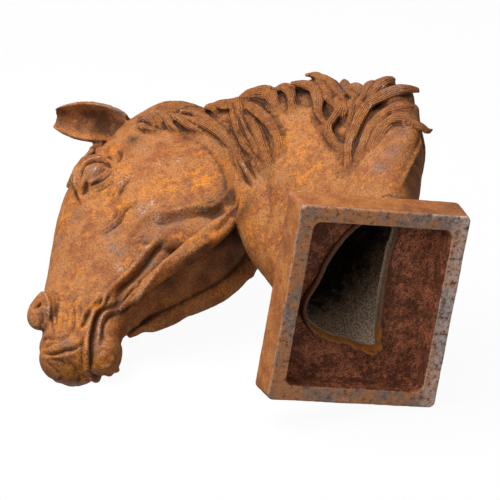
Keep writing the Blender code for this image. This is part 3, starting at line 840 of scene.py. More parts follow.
class Bench:
    """Adds nodes to one tree."""

    def __init__(self, tree):
        self.tree = tree
        tree.nodes.clear()

    def add(self, kind, settings=None, inputs=None, output=0):
        """One node: its settings, then its socket values or links; returns an output."""
        node = self.tree.nodes.new(kind)
        for name, value in (settings or {}).items():
            setattr(node, name, value)
        for name, value in (inputs or {}).items():
            socket = node.inputs[name]
            if isinstance(value, Wire):
                self.tree.links.new(value.socket, socket)
            else:
                socket.default_value = value
        return Wire(self, node.outputs[output]) if len(node.outputs) else node

    def noise(self, place, scale, detail=3.0, rough=0.55):
        """Noise between 0 and 1 on a vector."""
        return self.add("ShaderNodeTexNoise", {}, {
            "Vector": place, "Scale": scale, "Detail": detail, "Roughness": rough})

    def vector(self, operation, *values):
        """Vector maths; a dot product gives a number."""
        output = "Value" if operation == "DOT_PRODUCT" else 0
        name = "Scale" if operation == "SCALE" else 1
        return self.add("ShaderNodeVectorMath", {"operation": operation},
                        dict(zip((0, name), values)), output)

    def mix(self, factor, below, above):
        """Colour above laid over colour below; each is a wire or three values."""
        below, above = (c if isinstance(c, Wire) else (*c, 1.0) for c in (below, above))
        return self.add("ShaderNodeMix", {"data_type": "RGBA"}, {0: factor, 6: below, 7: above}, 2)

    def field(self, name):
        """A vertex field as a number."""
        return self.add("ShaderNodeAttribute", {"attribute_name": name}, {}, "Fac")

    def axis(self, place, name):
        """One coordinate of a place."""
        return self.add("ShaderNodeSeparateXYZ", {}, {"Vector": place}, name)


def hair_tree(material):
    """Node tree that turns each guide line into a lock of tapered strands."""
    tree = bpy.data.node_groups.new("cast_hair", "GeometryNodeTree")
    tree.interface.new_socket("Guides", in_out="INPUT", socket_type="NodeSocketGeometry")
    sizes = (("Strands", "Int"), ("Strand radius", "Float"), ("Wave", "Float"), ("Seed", "Int"),
             ("Finish", "Material"))
    for name, kind in sizes:
        tree.interface.new_socket(name, in_out="INPUT", socket_type="NodeSocket" + kind)
    tree.interface.new_socket("Hair", in_out="OUTPUT", socket_type="NodeSocketGeometry")
    bench = Bench(tree)
    given = tree.nodes.new("NodeGroupInput")
    read = {socket.name: Wire(bench, socket) for socket in given.outputs if socket.name}
    curves = bench.add("GeometryNodeMeshToCurve", {}, {"Mesh": read["Guides"]})
    copies = bench.add("GeometryNodeDuplicateElements", {"domain": "SPLINE"},
                       {"Geometry": curves, "Amount": read["Strands"]})
    number = Wire(bench, copies.socket.node.outputs["Duplicate Index"])
    out, spread, thick = (
        bench.add("GeometryNodeInputNamedAttribute", {"data_type": kind}, {"Name": name})
        for name, kind in (("out", "FLOAT_VECTOR"), ("spread", "FLOAT"), ("thick", "FLOAT")))
    along = bench.add("GeometryNodeSplineParameter", {}, {}, "Factor")
    tangent = bench.add("GeometryNodeInputTangent")
    side = bench.vector("NORMALIZE", bench.vector("CROSS_PRODUCT", tangent, out))
    index = bench.add("GeometryNodeInputIndex")
    strand = bench.add("GeometryNodeFieldOnDomain", {"domain": "CURVE", "data_type": "INT"},
                       {"Value": index})
    chance = [bench.add("FunctionNodeRandomValue", {"data_type": "FLOAT"},
                        {2: -1.0, 3: 1.0, "ID": strand, "Seed": read["Seed"] + n}, 1)
              for n in range(3)]
    across = (number + 0.5) / read["Strands"] * 2 - 1
    across = across + chance[0] * 0.12
    swell = ((along * 0.84 + 0.10) * math.pi).sine() ** 0.8
    sway = (along * 7.0 + chance[1] * 3.0).sine() * read["Wave"]
    sideways = across * spread * swell + sway
    outward = ((1 - across * across) * 0.9 + chance[2] * 0.25) * thick * swell
    offset = bench.vector("ADD", bench.vector("SCALE", side, sideways),
                          bench.vector("SCALE", out, outward))
    moved = bench.add("GeometryNodeSetPosition", {}, {"Geometry": copies, "Offset": offset})
    taper = (1 - (along ** 3) * 0.7) * ((along * 6).maths("MINIMUM", along * 6, 1.0) * 0.5 + 0.5)
    circle = bench.add("GeometryNodeCurvePrimitiveCircle", {}, {"Resolution": 8, "Radius": 1.0})
    tubes = bench.add("GeometryNodeCurveToMesh", {}, {
        "Curve": moved, "Profile Curve": circle, "Scale": taper * read["Strand radius"],
        "Fill Caps": True})
    real = bench.add("GeometryNodeRealizeInstances", {}, {"Geometry": tubes})
    done = bench.add("GeometryNodeSetMaterial", {}, {"Geometry": real, "Material": read["Finish"]})
    result = tree.nodes.new("NodeGroupOutput")
    tree.links.new(done.socket, result.inputs[0])
    return tree


def hair(skin, sizes, material):
    """Strands of the mane, forelock and poll as one plain mesh object."""
    obj = curve_guides(skin)
    modifier = obj.modifiers.new("Hair", "NODES")
    modifier.node_group = hair_tree(material)
    values = {"Strands": sizes.strands, "Strand radius": sizes.strand_radius,
              "Wave": sizes.strand_wave, "Seed": 7, "Finish": material}
    for item in modifier.node_group.interface.items_tree:
        if item.in_out == "INPUT" and item.name in values:
            modifier[item.identifier] = values[item.name]
    obj.update_tag()
    settle(obj)
    return obj


def head_parts():
    """Closed solids that make up the head and neck without their hair."""
    parts = [loft(head_sections()), loft(neck_sections()), crest()] + jaws()
    for share, radii in (((0.275, 0.122, -0.030), (0.078, 0.044, 0.062)),
                         ((0.31, 0.098, -0.32), (0.24, 0.070, 0.24)),
                         ((0.795, 0.068, -0.052), (0.070, 0.038, 0.050))):
        parts += [head_ball(place, radii) for place in mirrored(share)]
    parts.append(head_ball((0.918, 0, -0.152), (0.066, 0.080, 0.086)))
    parts.append(head_ball((0.890, 0, -0.275), (0.062, 0.052, 0.034)))
    parts += [ear(1, 0.006, 0.090, 0.198), ear(-1, -0.050, 0.215, 0.085)]
    return parts


def eyes(skin):
    """Eyeballs, placed where the picture shows the near one."""
    centre, normal = skin.seen(95.5, 171)
    near = centre - normal * 6.5 * MM
    return [ball(place, np.array((10.5, 9.5, 9.5)) * MM, AXES)
            for place in (near, far_side(near[None])[0])]


def noise_field(points, scale, octaves=3, seed=0.0):
    """Fractal noise at each point; scale is the size of its features in metres."""
    shift = Vector((seed, seed * 1.7, seed * 0.3))
    return np.array([noise.fractal(Vector(p) / scale + shift, 1.0, 2.0, octaves) for p in points])


def lumps(points, *layers):
    """Unevenness from layers of noise: feature size, octaves, seed, height in mm."""
    return sum(noise_field(points, size, octaves, seed) * height * MM
               for size, octaves, seed, height in layers)


def spigot_rows(count):
    """Outline and lip of the spigot at even steps round it."""
    rows = np.array(SPIGOT_ROWS[-3:] + SPIGOT_ROWS + SPIGOT_ROWS[:3], float) * MM
    keys = np.column_stack([np.arange(len(rows)) - 3, rows])
    return spline(keys, np.linspace(0, len(SPIGOT_ROWS), count, endpoint=False))


def spigot_outline(grow, count=260):
    """Outline of the neck where it passes the plate of the plinth, grown outwards."""
    outline = spigot_rows(count)[:, :2]
    ahead = np.roll(outline, -1, axis=0) - np.roll(outline, 1, axis=0)
    ahead /= np.linalg.norm(ahead, axis=1)[:, None]
    return outline + grow * np.stack([ahead[:, 1], -ahead[:, 0]], 1)


def prism(name, outline, bottom, top, levels=2):
    """Solid between two levels; each level may vary along the outline."""
    low = np.broadcast_to(bottom, len(outline))
    high = np.broadcast_to(top, len(outline))
    return mesh_object(name, [loft([np.column_stack([outline, low + (high - low) * u])
                                    for u in np.linspace(0, 1, levels)])])


def head_mesh(sizes, material):
    """The casting as one closed mesh, its uncut skin, its bore and its locks of hair."""
    voxel = sizes.grain * 1.0
    coarse = mesh_object("coarse", head_parts())
    fuse(coarse, COARSE_GRAIN, 4)
    skin = Skin(coarse)
    bpy.data.objects.remove(coarse)
    strands = hair(skin, sizes, material)
    guides = guide_lines(skin)
    cores = [sweep(places, half_width * 0.85 * MM, thick * 0.55 * MM, normals)
             for half_width, thick, places, normals in guides]
    body = mesh_object("cast_head", head_parts() + eyes(skin) + cores)
    join(body, strands)
    fuse(body, voxel, 2)
    fine = Skin(body)
    points, normals = vertex_values(body.data, "co"), vertex_values(body.data, "normal")
    carve(points, normals, head_lines(fine), sizes.carving)
    rough = lumps(points, (0.022, 3, 4.0, 0.35), (0.006, 2, 9.0, 0.16))
    place_vertices(body.data, points + normals * rough[:, None] * sizes.relief)
    thin(body, int(sizes.triangles * (1.0)))
    whole = Skin(body)
    foot = prism("foot", np.array([(-0.3, -0.3), (0.3, -0.3), (0.3, 0.3), (-0.3, 0.3)]),
                 -0.2, PLINTH_HEIGHT + CASTING_GAP)
    combine(body, foot, "DIFFERENCE")
    spigot = prism("spigot", spigot_outline(0.0), lip_level(), PLINTH_HEIGHT + 0.004, 14)
    combine(body, spigot, "UNION")
    inside = cavity(whole)
    bore = Skin(inside)
    combine(body, inside, "DIFFERENCE")
    for x, y, z, radius in LIP_HOLES:
        radii = np.array((radius, 4 * radius, radius)) * MM
        combine(body, mesh_object("hole", [ball((x, y, z), radii, np.eye(3), 16)]), "DIFFERENCE")
    keep_largest(body)
    return body, fine, bore, guides


def cavity(skin):
    """The hollow of the casting, uneven and held off the skin."""
    bore = [np.column_stack([spigot_outline(-wall, 96), np.full(96, z)]) for z, wall in (
        (0.0, SPIGOT_EDGE), (0.016, SPIGOT_EDGE), (0.030, SPIGOT_WALL),
        (PLINTH_HEIGHT + 0.010, SPIGOT_WALL))]
    inside = mesh_object("cavity", [loft(neck_sections(NECK_WALL, 0.06, 0.95, 60, 60)),
                                    loft(head_sections(HEAD_WALL, 0.04, 0.80, 50, 60)),
                                    loft(bore)])
    fuse(inside, CAVITY_GRAIN, 4)
    points, normals = vertex_values(inside.data, "co"), vertex_values(inside.data, "normal")
    rough = lumps(points, (0.020, 3, 1.0, 1.1), (0.006, 2, 3.0, 0.5))
    rough = np.clip(rough, -1.5 * MM, 1.5 * MM)[:, None] * (points[:, 2:] > PLINTH_HEIGHT)
    place_vertices(inside.data, points - normals * rough)
    hold_walls(inside, skin)
    thin(inside, CAVITY_TRIANGLES)
    return inside


def hold_walls(inside, skin):
    """Draw a cavity in wherever it comes too near the outside of the skin."""
    for vert in inside.data.vertices:
        if vert.co.z > PLINTH_HEIGHT + 0.006:
            place, normal, _, _ = skin.tree.find_nearest(vert.co)
            if (place - vert.co).dot(normal) < LEAST_WALL:
                vert.co = place - normal * LEAST_WALL


def lip_level(count=260):
    """Height of the ragged lower edge of the spigot."""
    rows = spigot_rows(count)
    ragged = noise_field(np.column_stack([rows[:, :2], np.zeros(count)]), 0.010, 4, 2.0)
    return PLINTH_HEIGHT - PLINTH_PLATE - rows[:, 2] + (0.6 * MM + 0.30 * rows[:, 2]) * ragged


def smooth_field(mesh, values, rounds):
    """Average a vertex field with its neighbours a number of times."""
    edges = np.empty(len(mesh.edges) * 2, np.int64)
    mesh.edges.foreach_get("vertices", edges)
    a, b = edges.reshape(-1, 2).T
    count = len(mesh.vertices)
    weight = np.bincount(a, minlength=count) + np.bincount(b, minlength=count)
    values = values.reshape(count, -1)
    for _ in range(rounds):
        total = np.stack([np.bincount(a, values[b, k], count) + np.bincount(b, values[a, k], count)
                          for k in range(values.shape[1])], 1)
        values = (values + total / np.maximum(weight, 1)[:, None]) / 2
    return values


def write_field(mesh, name, values, kind="FLOAT", key="value"):
    """Store a vertex field for a node tree to read."""
    layer = mesh.attributes.new(name, kind, "POINT")
    layer.data.foreach_set(key, np.asarray(values, np.float32).ravel())


def wear_and_crease_shade(mesh, points):
    """Edge wear, and recesses that the finish darkens as dark rust and painted shade, from how each
    point stands out of its surroundings.
    """
    normals = vertex_values(mesh, "normal")
    proud = np.zeros(len(points))
    for rounds, weight in ((3, 0.45), (10, 0.35), (30, 0.30)):
        out = ((points - smooth_field(mesh, points, rounds)) * normals).sum(1)
        proud += weight * out / np.percentile(np.abs(out), 96)
    proud = smooth_field(mesh, proud, 1).ravel()
    write_field(mesh, "worn", np.clip(proud, 0, 1.5))
    # hollow: recesses, darkened in the finish partly as dark rust in crevices and partly as painted
    # shade
    write_field(mesh, "hollow", np.clip(-proud, 0, 1.5))


def shut_in(mesh, points, reach=0.060, rays=20):
    """How much of the sky round each point the work itself hides; the finishes darken by it as
    painted shade.
    """
    tree = search_tree(mesh)
    turn = np.arange(rays) * math.pi * (3 - math.sqrt(5))
    rise = 1 - (np.arange(rays) + 0.5) / rays * 0.9
    spread = np.sqrt(1 - rise**2)
    rose = np.stack([spread * np.cos(turn), spread * np.sin(turn), rise], 1)
    normals = vertex_values(mesh, "normal")
    across = np.cross(normals, (0.31, 0.52, 0.80))
    across /= np.linalg.norm(across, axis=1)[:, None]
    along = np.cross(normals, across)
    hidden = np.zeros(len(points))
    for x, y, z in rose:
        ways = across * x + along * y + normals * z
        for i, (start, way) in enumerate(zip((points + normals * 0.0012).tolist(), ways.tolist())):
            far = tree.ray_cast(start, way, reach)[3]
            if far is not None:
                hidden[i] += 1 - far / reach * 0.6
    write_field(mesh, "shut_in", smooth_field(mesh, hidden / rays, 2))


def comb(mesh, points, guides):
    """How far across its lock each point lies, and how surely it is hair."""
    across, sure = np.zeros(len(points)), np.zeros(len(points))
    for half_width, _, places, normals in guides:
        line, facing = smooth_path(places, 40), smooth_path(normals, 40)
        side = np.cross(np.gradient(line, axis=0), facing)
        side /= np.linalg.norm(side, axis=1)[:, None]
        reach = (half_width * 1.5 + 3) * MM
        near, closest, away = beside(points, line, reach)
        close = 1 - np.sqrt(away) / reach
        better = close > sure[near]
        near, closest, close = near[better], closest[better], close[better]
        sure[near] = close
        across[near] = ((points[near] - line[closest]) * side[closest]).sum(1)
    write_field(mesh, "across", across / MM)
    write_field(mesh, "tress", smooth_field(mesh, np.clip(sure * 2.5, 0, 1), 1))


def paint_marks(mesh, points, fine):
    """Fields of the marks that the picture shows on the near side: painted shade, painted
    highlights and sheen, and pale flecks, grey-violet scale and orange rust.
    """
    fields = {kind: np.zeros(len(points)) for kind in ("pale", "grey", "dark", "ochre")}
    for kind, radius, spots in MARKS:
        for x, y in spots:
            place, _ = fine.seen(x, y)
            away = ((points - place) ** 2).sum(1)
            fields[kind] = np.maximum(fields[kind], np.exp(-away / (radius * MM * 1.1) ** 2))
    for kind, values in fields.items():
        write_field(mesh, kind, values)


def build_head(sizes, colours):
    """The head casting with its finish."""
    material = iron_finish(colours)
    body, fine, bore, guides = head_mesh(sizes, material)
    mesh = body.data
    points = vertex_values(mesh, "co")
    wear_and_crease_shade(mesh, points)
    shut_in(mesh, points)
    paint_marks(mesh, points, fine)
    inside = np.array([bore.tree.find_nearest(Vector(p), 0.0012)[0] is not None
                       for p in points], float)
    write_field(mesh, "bore", smooth_field(mesh, inside, 2))
    comb(mesh, points, guides)
    return finish_piece(body, material, "horse_head")


def finish_piece(obj, material, node):
    """Move a piece to its place, give it its finish and tie it to the model."""
    obj.data.transform(Matrix.Translation(CENTRE))
    obj.data.materials.clear()
    obj.data.materials.append(material)
    obj.data.polygons.foreach_set("use_smooth", np.ones(len(obj.data.polygons), bool))
    obj.data.update()
    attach(obj, "root")
    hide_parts(node)
    return obj


def rounded_box(name, length, width, bottom, top, corner, shoulder, draft, foot):
    """Box with rounded upright corners, rounded edges and a slight draft."""
    levels = [(bottom + foot * (1 - math.sin(a)), foot * (1 - math.cos(a)))
              for a in np.linspace(math.pi / 2, 0, 5)] if foot else [(bottom, 0.0)]
    levels += [(top - shoulder * (1 - math.sin(a)), shoulder * (1 - math.cos(a)))
               for a in np.linspace(0, math.pi / 2, 7)]
    sections = []
    for z, inset in levels:
        grow = draft * (z - bottom) / (top - bottom) - inset
        hx, hy = width / 2 + grow, length / 2 + grow
        r = max(corner - inset, 0.002)
        section = []
        for quarter, (sx, sy) in enumerate(((1, 1), (-1, 1), (-1, -1), (1, -1))):
            for a in np.linspace(0, math.pi / 2, 10) + quarter * math.pi / 2:
                section.append((sx * (hx - r) + r * math.cos(a),
                                sy * (hy - r) + r * math.sin(a), z))
        sections.append(np.array(section))
    return mesh_object(name, [loft(sections)])


def build_plinth(sizes, colours):
    """The plinth casting with its finish."""
    body = rounded_box("cast_plinth", sizes.length, sizes.width, 0.0, sizes.height,
                       sizes.corner, 0.005, PLINTH_DRAFT, 0.0012)
    hollow = rounded_box("hollow", sizes.length - 2 * sizes.wall, sizes.width - 2 * sizes.wall,
                         -0.01, sizes.height - sizes.plate, 0.009, 0.004, -0.003, 0)
    combine(body, hollow, "DIFFERENCE")
    hole = prism("hole", spigot_outline(CASTING_GAP), 0.0, sizes.height + 0.01)
    combine(body, hole, "DIFFERENCE")
    remesh = body.modifiers.new("Grain", "REMESH")
    remesh.mode = "VOXEL"
    remesh.voxel_size = PLINTH_GRAIN * 1.0
    settle(body)
    mesh = body.data
    points, normals = vertex_values(mesh, "co"), vertex_values(mesh, "normal")
    rough = lumps(points, (0.050, 2, 5.0, 0.45), (0.008, 3, 8.0, 0.22))
    points = points + normals * np.clip(rough, -0.8 * MM, 0.35 * MM)[:, None]
    points[:, 2] = np.maximum(points[:, 2], 0.0)
    place_vertices(mesh, points)
    wear_and_crease_shade(mesh, points)
    shut_in(mesh, points, rays=12)
    half = np.array((sizes.width, sizes.length)) / 2 - sizes.wall
    inside = (np.abs(points[:, :2]) < half + 1.5 * MM).all(1)
    inside &= points[:, 2] < sizes.height - sizes.plate + 1.0 * MM
    write_field(mesh, "bore", smooth_field(mesh, inside.astype(float), 2))
    rim = (points[:, 2] < 1.6 * MM).astype(float)
    write_field(mesh, "rim", smooth_field(mesh, rim, 1))
    return finish_piece(body, plinth_finish(colours), "plinth")


def principled(material, bench, values):
    """Shader and output of a finish."""
    shader = bench.add("ShaderNodeBsdfPrincipled", {}, values)
    bench.add("ShaderNodeOutputMaterial", {}, {"Surface": shader})
    return material


def new_finish(name):
    """Material with an empty tree, its bench and the object's coordinates."""
    material = bpy.data.materials.new(name)
    material.use_nodes = True
    bench = Bench(material.node_tree)
    place = bench.add("ShaderNodeTexCoord", {}, {}, "Object")
    return material, bench, place


def iron_finish(colours):
    """Rusted iron of the head: orange and brown rust, worn edges, black bore, with painted shade in
    recesses and on the shaded side, painted highlights and sheen on ridges and the eye, a painted
    shadow on the spigot and painted light and shade inside the bore.
    """
    material, bench, place = new_finish("rusted_iron")
    mix, field = bench.mix, bench.field
    broad = bench.noise(place, 13, 3.0)
    cloud = bench.noise(place, 38, 4.0, 0.62)
    mottle = bench.noise(place, 120, 4.0, 0.65)
    grain = bench.noise(place, 520, 3.0, 0.6)
    speck = bench.noise(place, 1500, 2.0, 0.6)
    worn, hollow, shut = field("worn"), field("hollow"), field("shut_in")
    tress = field("tress")
    hairs = ((field("across") + (mottle - 0.5) * 1.6) * 3.6).sine() * tress.band(0.05, 0.6)
    tone = mix(cloud.band(0.36, 0.62), colours.rust, colours.light_rust)
    tone = mix(broad.band(0.46, 0.66) * mottle.band(0.30, 0.55) * 0.6, tone, colours.brown)
    ochre = ((mottle * 0.6 + broad * 0.4).band(0.50, 0.60) * 0.6
             + field("ochre") * mottle.band(0.35, 0.55) * 0.85)
    tone = mix(ochre, tone, colours.ochre)
    # violet: random grey-violet scale, and the grey marks, which are partly that scale and partly
    # painted sheen on ridges, the nostril rim and the mane
    violet = ((cloud * 0.45 + mottle * 0.55).band(0.54, 0.64) * 0.5
              + field("grey") * mottle.band(0.40, 0.58) * 0.85)
    tone = mix(violet, tone, colours.violet)
    tone = mix(tress * 0.22 + (0 - hairs) * 0.22, tone, colours.brown)
    # painted shade: the dark colour in recesses (partly dark rust in crevices), where the work
    # shuts out the sky, and at the dark marks; the grain adds dark rust specks
    dark = hollow.band(0.08, 0.65) * 0.88 + field("dark") * cloud.band(0.2, 0.6) * 0.8
    dark = dark + (1 - grain.band(0.36, 0.47)) * 0.38 + shut.band(0.12, 0.60) * 0.55
    tone = mix(dark.maths("MINIMUM", dark, 0.93), tone, colours.dark)
    # pale: bare metal on worn edges, and the pale marks, which are partly painted highlights on
    # ridges and the eye and partly pale flecks
    pale = (worn.band(0.60, 1.35) * grain.band(0.45, 0.60) * 0.45
            + field("pale") * grain.band(0.48, 0.58) * 0.8)
    tone = mix(pale, tone, colours.worn)
    shade = ((grain - 0.5) * 1.5 + (mottle - 0.5) * 0.9 + (speck - 0.5) * 0.7
             + hairs * 0.10 + 1.0)
    tone = bench.vector("SCALE", tone, shade.maths("MAXIMUM", shade, 0.15))
    depth, level = bench.axis(place, "Y"), bench.axis(place, "Z")
    # painted shadow: the spigot below the plate takes the plinth's red-brown inside colour, which
    # also darkens it where it stands in shade
    spigot = 1 - level.band(PLINTH_HEIGHT - 0.006, PLINTH_HEIGHT)
    tone = mix(spigot * 0.9, tone, colours.inside)
    # inside the bore: black and grey scale with painted light and shade, pale ash colour low down
    # near the opening where light comes in and black higher up where it is dark; darker at the
    # lip's lower edge
    lit_ash_band = 1 - (level + (mottle - 0.5) * 0.09).band(0.085, 0.145)
    soot_and_shade = mix(speck.band(0.50, 0.62) * 0.4 + cloud.band(0.45, 0.7) * 0.3, colours.soot_and_shade,
               colours.bore_grey)
    ash_and_light = mix(grain.band(0.42, 0.56), colours.bore_grey, colours.ash_and_light)
    edge = 1 - level.band(0.027, 0.038)
    ash_and_light = mix(edge * 0.85, ash_and_light, colours.dark * 1.3)
    ragged = edge * (1 - depth.band(CENTRE.y - 0.034, CENTRE.y - 0.022)) * mottle.band(0.3, 0.55)
    ash_and_light = mix(ragged, ash_and_light, colours.ochre * 0.8)
    soot_and_shade = mix(lit_ash_band, soot_and_shade, ash_and_light)
    within = field("bore").band(0.35, 0.65)
    tone = mix(within, tone, soot_and_shade)
    height = mottle * 0.45 + grain * 0.45 + speck * 0.15 + cloud * 0.3 + hairs * 0.22
    bump = bench.add("ShaderNodeBump", {}, {"Strength": 0.9, "Distance": 0.0016, "Height": height})
    return principled(material, bench, {
        "Base Color": tone,
        "Roughness": 0.55 + grain * 0.25 + within * 0.15 + hollow * 0.1,
        "Metallic": pale * 0.25,
        "Specular IOR Level": 0.3,
        "Normal": bump,
    })


def plinth_finish(colours):
    """Rusted iron of the plinth: orange sides, grey worn rim, red-brown inside, with painted shade
    where the work shuts out the sky.
    """
    material, bench, place = new_finish("rusted_plinth_iron")
    mix, field = bench.mix, bench.field
    broad = bench.noise(place, 16, 3.0)
    cloud = bench.noise(place, 55, 4.0, 0.62)
    mottle = bench.noise(place, 190, 4.0, 0.65)
    grain = bench.noise(place, 640, 3.0, 0.6)
    tone = mix(cloud.band(0.34, 0.66), colours.rust * 1.1, colours.light_rust * 1.1)
    tone = mix(broad.band(0.50, 0.70) * 0.6, tone, colours.brown)
    tone = mix(mottle.band(0.60, 0.72) * 0.6, tone, colours.dark)
    tone = mix(field("worn").band(0.5, 1.2) * 0.35, tone, colours.worn * 0.8)
    # painted shade: darker where the plinth shuts out the sky
    tone = mix(field("shut_in").band(0.45, 0.9) * 0.7, tone, colours.dark)
    rim_tone = mix((cloud * 0.5 + broad * 0.5).band(0.44, 0.54), colours.rim_brown,
                   colours.rim_grey)
    right = 1 - bench.axis(place, "X").band(CENTRE.x - 0.084, CENTRE.x - 0.060)
    bare = ((broad * 0.6 + mottle * 0.4).band(0.54, 0.64) * 0.25
            + right * mottle.band(0.36, 0.56) * 0.55)
    rim_tone = mix(bare, rim_tone, colours.worn * 1.5)
    rim_tone = mix((1 - mottle.band(0.34, 0.46)) * 0.55, rim_tone, colours.dark)
    rim = field("rim").band(0.3, 0.7)
    tone = mix(rim, tone, rim_tone)
    inner = mix((cloud * 0.5 + mottle * 0.5).band(0.42, 0.60), colours.inside,
                colours.inside * 2.6)
    inner = mix(1 - grain.band(0.38, 0.48), inner, colours.dark)
    tone = mix(field("bore").band(0.35, 0.65) * (1 - rim), tone, inner)
    shade = (grain - 0.5) * 1.3 + (mottle - 0.5) * 1.0 + 1.0
    tone = bench.vector("SCALE", tone, shade.maths("MAXIMUM", shade, 0.2))
    height = mottle * 0.5 + grain * 0.45 + cloud * 0.3
    bump = bench.add("ShaderNodeBump", {}, {"Strength": 0.9, "Distance": 0.0015, "Height": height})
    return principled(material, bench, {
        "Base Color": tone,
        "Roughness": 0.58 + grain * 0.25,
        "Metallic": 0.0,
        "Specular IOR Level": 0.3,
        "Normal": bump,
    })


def camera():
    """Camera at the picture's place, angle and lens."""
    data = bpy.data.cameras.new("picture_camera")
    data.lens, data.sensor_width = CAMERA_LENS, FILM
    data.clip_start, data.clip_end = 0.1, 50
    obj = bpy.data.objects.new("picture_camera", data)
    turn = Matrix((CAMERA_RIGHT, CAMERA_UP, CAMERA_BACK)).transposed()
    obj.matrix_world = Matrix.Translation(CENTRE + CAMERA_PLACE) @ turn.to_4x4()
    bpy.context.scene.collection.objects.link(obj)
    bpy.context.scene.camera = obj


def lamp(name, direction, distance, size, power):
    """Square soft light aimed at the work from a direction."""
    data = bpy.data.lights.new(name, "AREA")
    data.shape, data.size, data.energy = "SQUARE", size, power
    obj = bpy.data.objects.new(name, data)
    middle = Vector(((CAD_BOX[0].x + CAD_BOX[1].x) / 2, (CAD_BOX[0].y + CAD_BOX[1].y) / 2, 0.24))
    obj.location = middle + direction.normalized() * distance
    obj.rotation_mode = "QUATERNION"
    obj.rotation_quaternion = direction.to_track_quat("Z", "Y")
    bpy.context.scene.collection.objects.link(obj)


def floor_finish():
    """Pale floor that lets the light of the room through from below."""
    material, bench, _ = new_finish("pale_floor")
    behind = bench.add("ShaderNodeNewGeometry", {}, {}, "Backfacing")
    paint = bench.add("ShaderNodeBsdfDiffuse", {}, {"Color": (0.82, 0.82, 0.82, 1)})
    clear = bench.add("ShaderNodeBsdfTransparent")
    factor = 0.95 + behind * 0.05
    both = bench.add("ShaderNodeMixShader", {}, {0: factor, 1: paint, 2: clear})
    bench.add("ShaderNodeOutputMaterial", {}, {"Surface": both})
    return material


def build_stage(stage):
    """Floor under the lying work, white room and soft lights."""
    across = FLOOR_NORMAL.cross(Vector((0, 0, 1))).normalized()
    shift = Vector((0.09, 0, 0.25))
    middle = CENTRE + FLOOR_NORMAL * (FLOOR_LEVEL - shift.dot(FLOOR_NORMAL)) + shift
    up = FLOOR_NORMAL.cross(across)
    size = stage.floor_size / 2
    mesh = bpy.data.meshes.new("floor")
    corners = [middle + across * x * size + up * y * size
               for x, y in ((-1, -1), (1, -1), (1, 1), (-1, 1))]
    mesh.from_pydata(corners, [], [(0, 1, 2, 3)])
    if mesh.polygons[0].normal.dot(FLOOR_NORMAL) < 0:
        mesh.flip_normals()
    mesh.materials.append(floor_finish())
    floor = bpy.data.objects.new("floor", mesh)
    bpy.context.scene.collection.objects.link(floor)
    camera()
    lamp("key_light", CAMERA_UP + CAMERA_BACK * 0.35 - CAMERA_RIGHT * 0.45, 1.6, 1.2,
         stage.key_power)
    lamp("front_light", CAMERA_BACK - CAMERA_RIGHT * 0.6 + CAMERA_UP * 0.5, 2.2, 1.4,
         stage.front_power)
    world = bpy.data.worlds.new("room")
    world.use_nodes = True
    bench = Bench(world.node_tree)
    ray = bench.add("ShaderNodeLightPath", {}, {}, "Is Camera Ray")
    glow, white = (
        bench.add("ShaderNodeBackground", {}, {"Color": (1, 1, 1, 1), "Strength": strength})
        for strength in (stage.room_light, 1.0))
    both = bench.add("ShaderNodeMixShader", {}, {0: ray, 1: glow, 2: white})
    bench.add("ShaderNodeOutputWorld", {}, {"Surface": both})
    bpy.context.scene.world = world
    bpy.context.scene.view_settings.view_transform = "Standard"


def length_property(name, description, default, low=0.0, high=1.0):
    """Length that a user may change."""
    return FloatProperty(name=name, description=description, default=default, min=low, max=high,
                         subtype="DISTANCE", unit="LENGTH", precision=5)


def colour_property(name, description, default):
    """Colour that a user may change."""
    return FloatVectorProperty(name=name, description=description, default=default, size=3,
                               min=0, max=1, subtype="COLOR")


def power_property(name, description, default):
    """Power of a light that a user may change."""
    return FloatProperty(name=name, description=description, default=default, min=0,
                         unit="POWER")


class HeadSizes(bpy.types.PropertyGroup):
    """Sizes of the head casting's detail."""
    grain: length_property("Grain", "Size of the finest carving of the skin", 0.0015, 0.001, 0.01)
    carving: FloatProperty(
        name="Carving", description="Strength of the carved lines", default=1.2, min=0, max=3)
    relief: FloatProperty(
        name="Unevenness", description="How uneven the cast skin is", default=1.0, min=0, max=4)
    triangles: IntProperty(
        name="Triangles", description="Faces of the outer skin", default=140000, min=20000,
        max=160000)
    strands: IntProperty(
        name="Strands", description="Strands in each lock of hair", default=4, min=1, max=12)
    strand_radius: length_property(
        "Strand radius", "Half thickness of a strand of hair", 0.0024, 0.0005, 0.01)
    strand_wave: length_property(
        "Strand wave", "How far a strand sways sideways", 0.0006, 0.0, 0.01)


class PlinthSizes(bpy.types.PropertyGroup):
    """Sizes of the plinth casting."""
    length: length_property("Length", "Length of the rim", PLINTH_LENGTH, 0.05, 0.6)
    width: length_property("Width", "Width of the rim", PLINTH_WIDTH, 0.05, 0.6)
    height: length_property(
        "Height", "Height over the rim", PLINTH_HIGH.z - PLINTH_LOW.z, 0.02, 0.2)
    wall: length_property("Wall", "Thickness of the side walls", PLINTH_WALL, 0.003, 0.05)
    plate: length_property("Plate", "Thickness of the top plate", PLINTH_PLATE, 0.003, 0.05)
    corner: length_property("Corner", "Radius of the upright corners", 0.0055, 0.002, 0.05)


